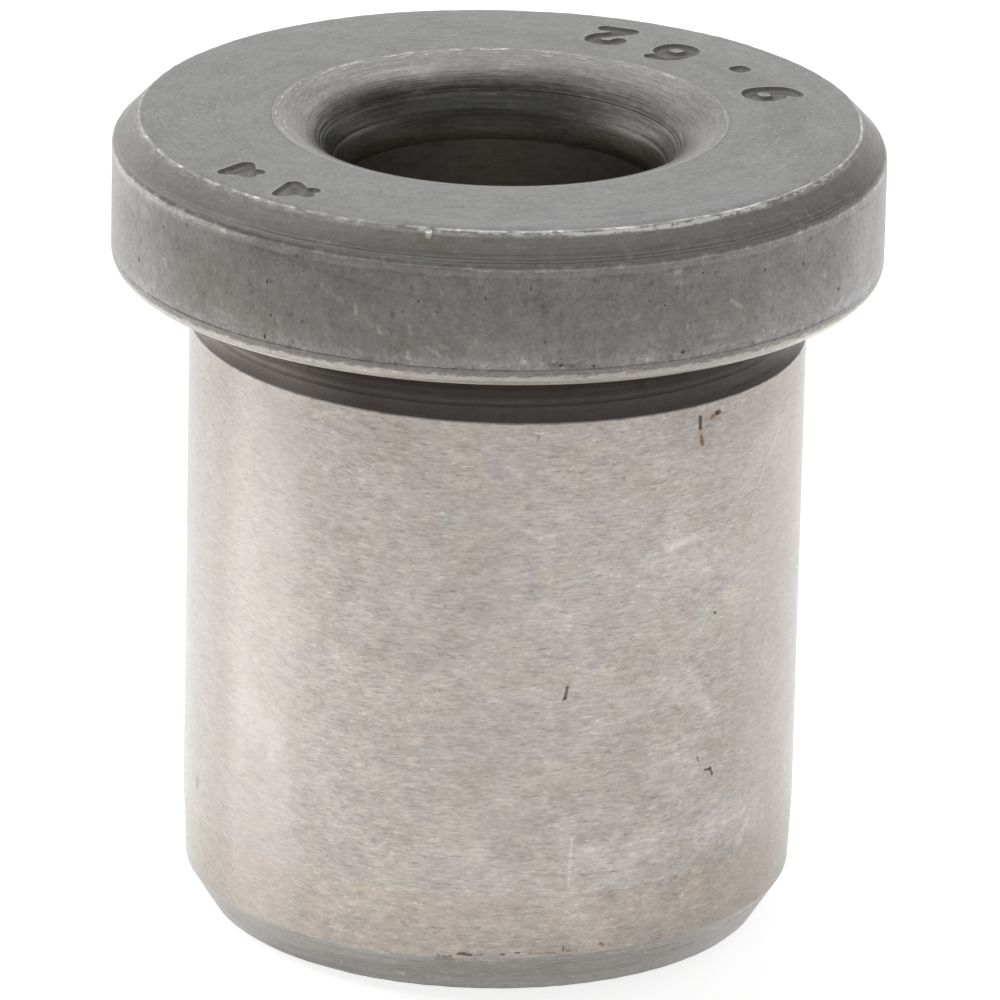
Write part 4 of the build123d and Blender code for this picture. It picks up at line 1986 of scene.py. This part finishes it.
@dataclass
class Studio:
    """A pale floor, soft light all round and a camera that looks down on the bushing.

    The white that the camera sees on the floor, and the one that the metal mirrors, are each a share of
    paint, which keeps the shadow, and a glow. The room is brighter behind the bushing, and comes in and
    goes out there between these parts of the way that a ray goes.
    """

    floor_size: float = 3.0
    floor_gap: float = 0.01
    floor_paint: float = 0.85
    seen_white: tuple[float, float] = (0.32, 0.80)
    mirrored_white: tuple[float, float] = (0.60, 0.34)
    front_room: float = 0.33
    back_room: float = 0.88
    room_back: tuple[float, float] = (-0.28, 0.28)
    room_right: tuple[float, float] = (0.25, 0.60)
    room_left: tuple[float, float] = (-0.95, -0.45)
    right_rest: float = 0.05
    boxes: tuple[SoftBox, ...] = (
        SoftBox("left_grid", -100.0, 55.0, 0.060, (0.024, 0.024), 21.5, 16.0, 50.0),
        SoftBox("left_box", -128.0, 30.0, 0.110, (0.07, 0.06), 5.0),
        SoftBox("right_grid", 92.0, 55.0, 0.060, (0.024, 0.024), 3.6, 16.0, 50.0),
        SoftBox("right_box", 132.0, 30.0, 0.115, (0.07, 0.06), 3.4),
        SoftBox("back_box", 176.0, 34.0, 0.140, (0.10, 0.06), 2.8),
    )
    elevation: float = 19.7327
    distance: float = 222.205
    roll: float = 1.2861
    focal_pixels: float = 11361.87
    image_pixels: float = 1000.0
    aim_right: float = 0.1589
    aim_up: float = 8.1088
    sensor: float = 36.0
    clip_start: float = 0.01

    def build(self, middle: Vector) -> None:
        """Sets up the floor, the world, the lamps and the camera.

        Args:
            middle: the middle of the bushing, in metres.
        """
        self.floor()
        self.world()
        for box in self.boxes:
            box.light(middle)
        self.camera(middle)

    def floor(self) -> None:
        """Lays a pale floor that looks white to the camera and to the metal and keeps the shadow."""
        mesh = bmesh.new()
        bmesh.ops.create_grid(mesh, x_segments=1, y_segments=1, size=self.floor_size / 2,
                              matrix=Matrix.Translation((0.0, 0.0, -self.floor_gap * METRES)))
        data = filled(bpy.data.meshes.new("floor"), mesh)
        floor = linked("floor", data)
        material = bpy.data.materials.new("pale_floor")
        graph = Graph.of(material)
        path = graph.add("ShaderNodeLightPath").outputs
        plain = graph.add("ShaderNodeBsdfDiffuse", {"Color": (self.floor_paint,) * 3}).outputs[0]
        shown = self._white(graph, *self.seen_white)
        mirrored = self._white(graph, *self.mirrored_white)
        white = plain
        for ray, seen in (("Is Glossy Ray", mirrored), ("Is Camera Ray", shown)):
            white = graph.add("ShaderNodeMixShader", {0: path[ray], 1: white, 2: seen}).outputs[0]
        graph.add("ShaderNodeOutputMaterial", {0: white})
        data.materials.append(material)
        floor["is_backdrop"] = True

    def _white(self, graph: Graph, paint: float, glow: float) -> Socket:
        """Gives a white that is part paint, which keeps the shadow, and part glow.

        Args:
            graph: the floor's graph.
            paint: the paint's share.
            glow: the glow's strength.

        Returns:
            The shader.
        """
        matt = graph.add("ShaderNodeBsdfDiffuse", {"Color": (paint, paint, paint)}).outputs[0]
        light = graph.add("ShaderNodeEmission", {"Color": (1.0, 1.0, 1.0), "Strength": glow}).outputs[0]
        return graph.add("ShaderNodeAddShader", {0: matt, 1: light}).outputs[0]

    def world(self) -> None:
        """Makes the room white to the camera, and a soft light that is dimmer from the camera's side."""
        world = bpy.data.worlds.new("studio")
        bpy.context.scene.world = world
        graph = Graph.of(world)
        path = graph.add("ShaderNodeLightPath").outputs
        way = graph.add("ShaderNodeTexCoord").outputs["Generated"]
        parts = graph.add("ShaderNodeSeparateXYZ", {0: way}).outputs
        behind = graph.between(parts[1], *self.room_back)
        right = graph.between(parts[0], *self.room_right, 1.0, self.right_rest)
        behind = graph.math("MULTIPLY", behind, right)
        behind = graph.math("MULTIPLY", behind, graph.between(parts[0], *self.room_left))
        room = graph.math("MULTIPLY_ADD", behind, self.back_room - self.front_room, self.front_room)
        level = graph.math("MAXIMUM", path["Is Camera Ray"], room)
        glow = graph.add("ShaderNodeBackground", {"Color": (1.0, 1.0, 1.0), "Strength": level})
        graph.add("ShaderNodeOutputWorld", {0: glow.outputs[0]})

    def camera(self, middle: Vector) -> None:
        """Places the camera by its elevation, distance and roll.

        Args:
            middle: the middle of the bushing, in metres.
        """
        elevation, roll = math.radians(self.elevation), math.radians(self.roll)
        back = Vector((0.0, -math.cos(elevation), math.sin(elevation)))
        level_right = Vector((1.0, 0.0, 0.0))
        level_up = back.cross(level_right)
        right = level_right * math.cos(roll) + level_up * math.sin(roll)
        up = level_up * math.cos(roll) - level_right * math.sin(roll)
        aim = middle + (right * self.aim_right + up * (self.aim_up - middle.z / METRES)) * METRES
        data = bpy.data.cameras.new("camera")
        data.sensor_width = self.sensor
        data.lens = self.focal_pixels / self.image_pixels * self.sensor
        data.clip_start = self.clip_start
        camera = linked("camera", data)
        turn = Matrix((right, up, back)).transposed().to_4x4()
        camera.matrix_world = Matrix.Translation(aim + back * self.distance * METRES) @ turn
        bpy.context.scene.camera = camera


def main() -> None:
    cad_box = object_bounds()
    scene = bpy.context.scene
    scene.view_settings.view_transform = "Standard"
    sizes = Sizes.from_frame()
    Bushing(sizes).build()
    Studio().build(Vector((0.0, 0.0, sizes.length / 2 * METRES)))
    LOG.info("studio: floor, world, lamps and camera")
    boxes = {"cad": cad_box, "visual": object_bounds()}
    boxes = {name: [list(corner) for corner in box] for name, box in boxes.items()}


if __name__ == "__main__":
    main()
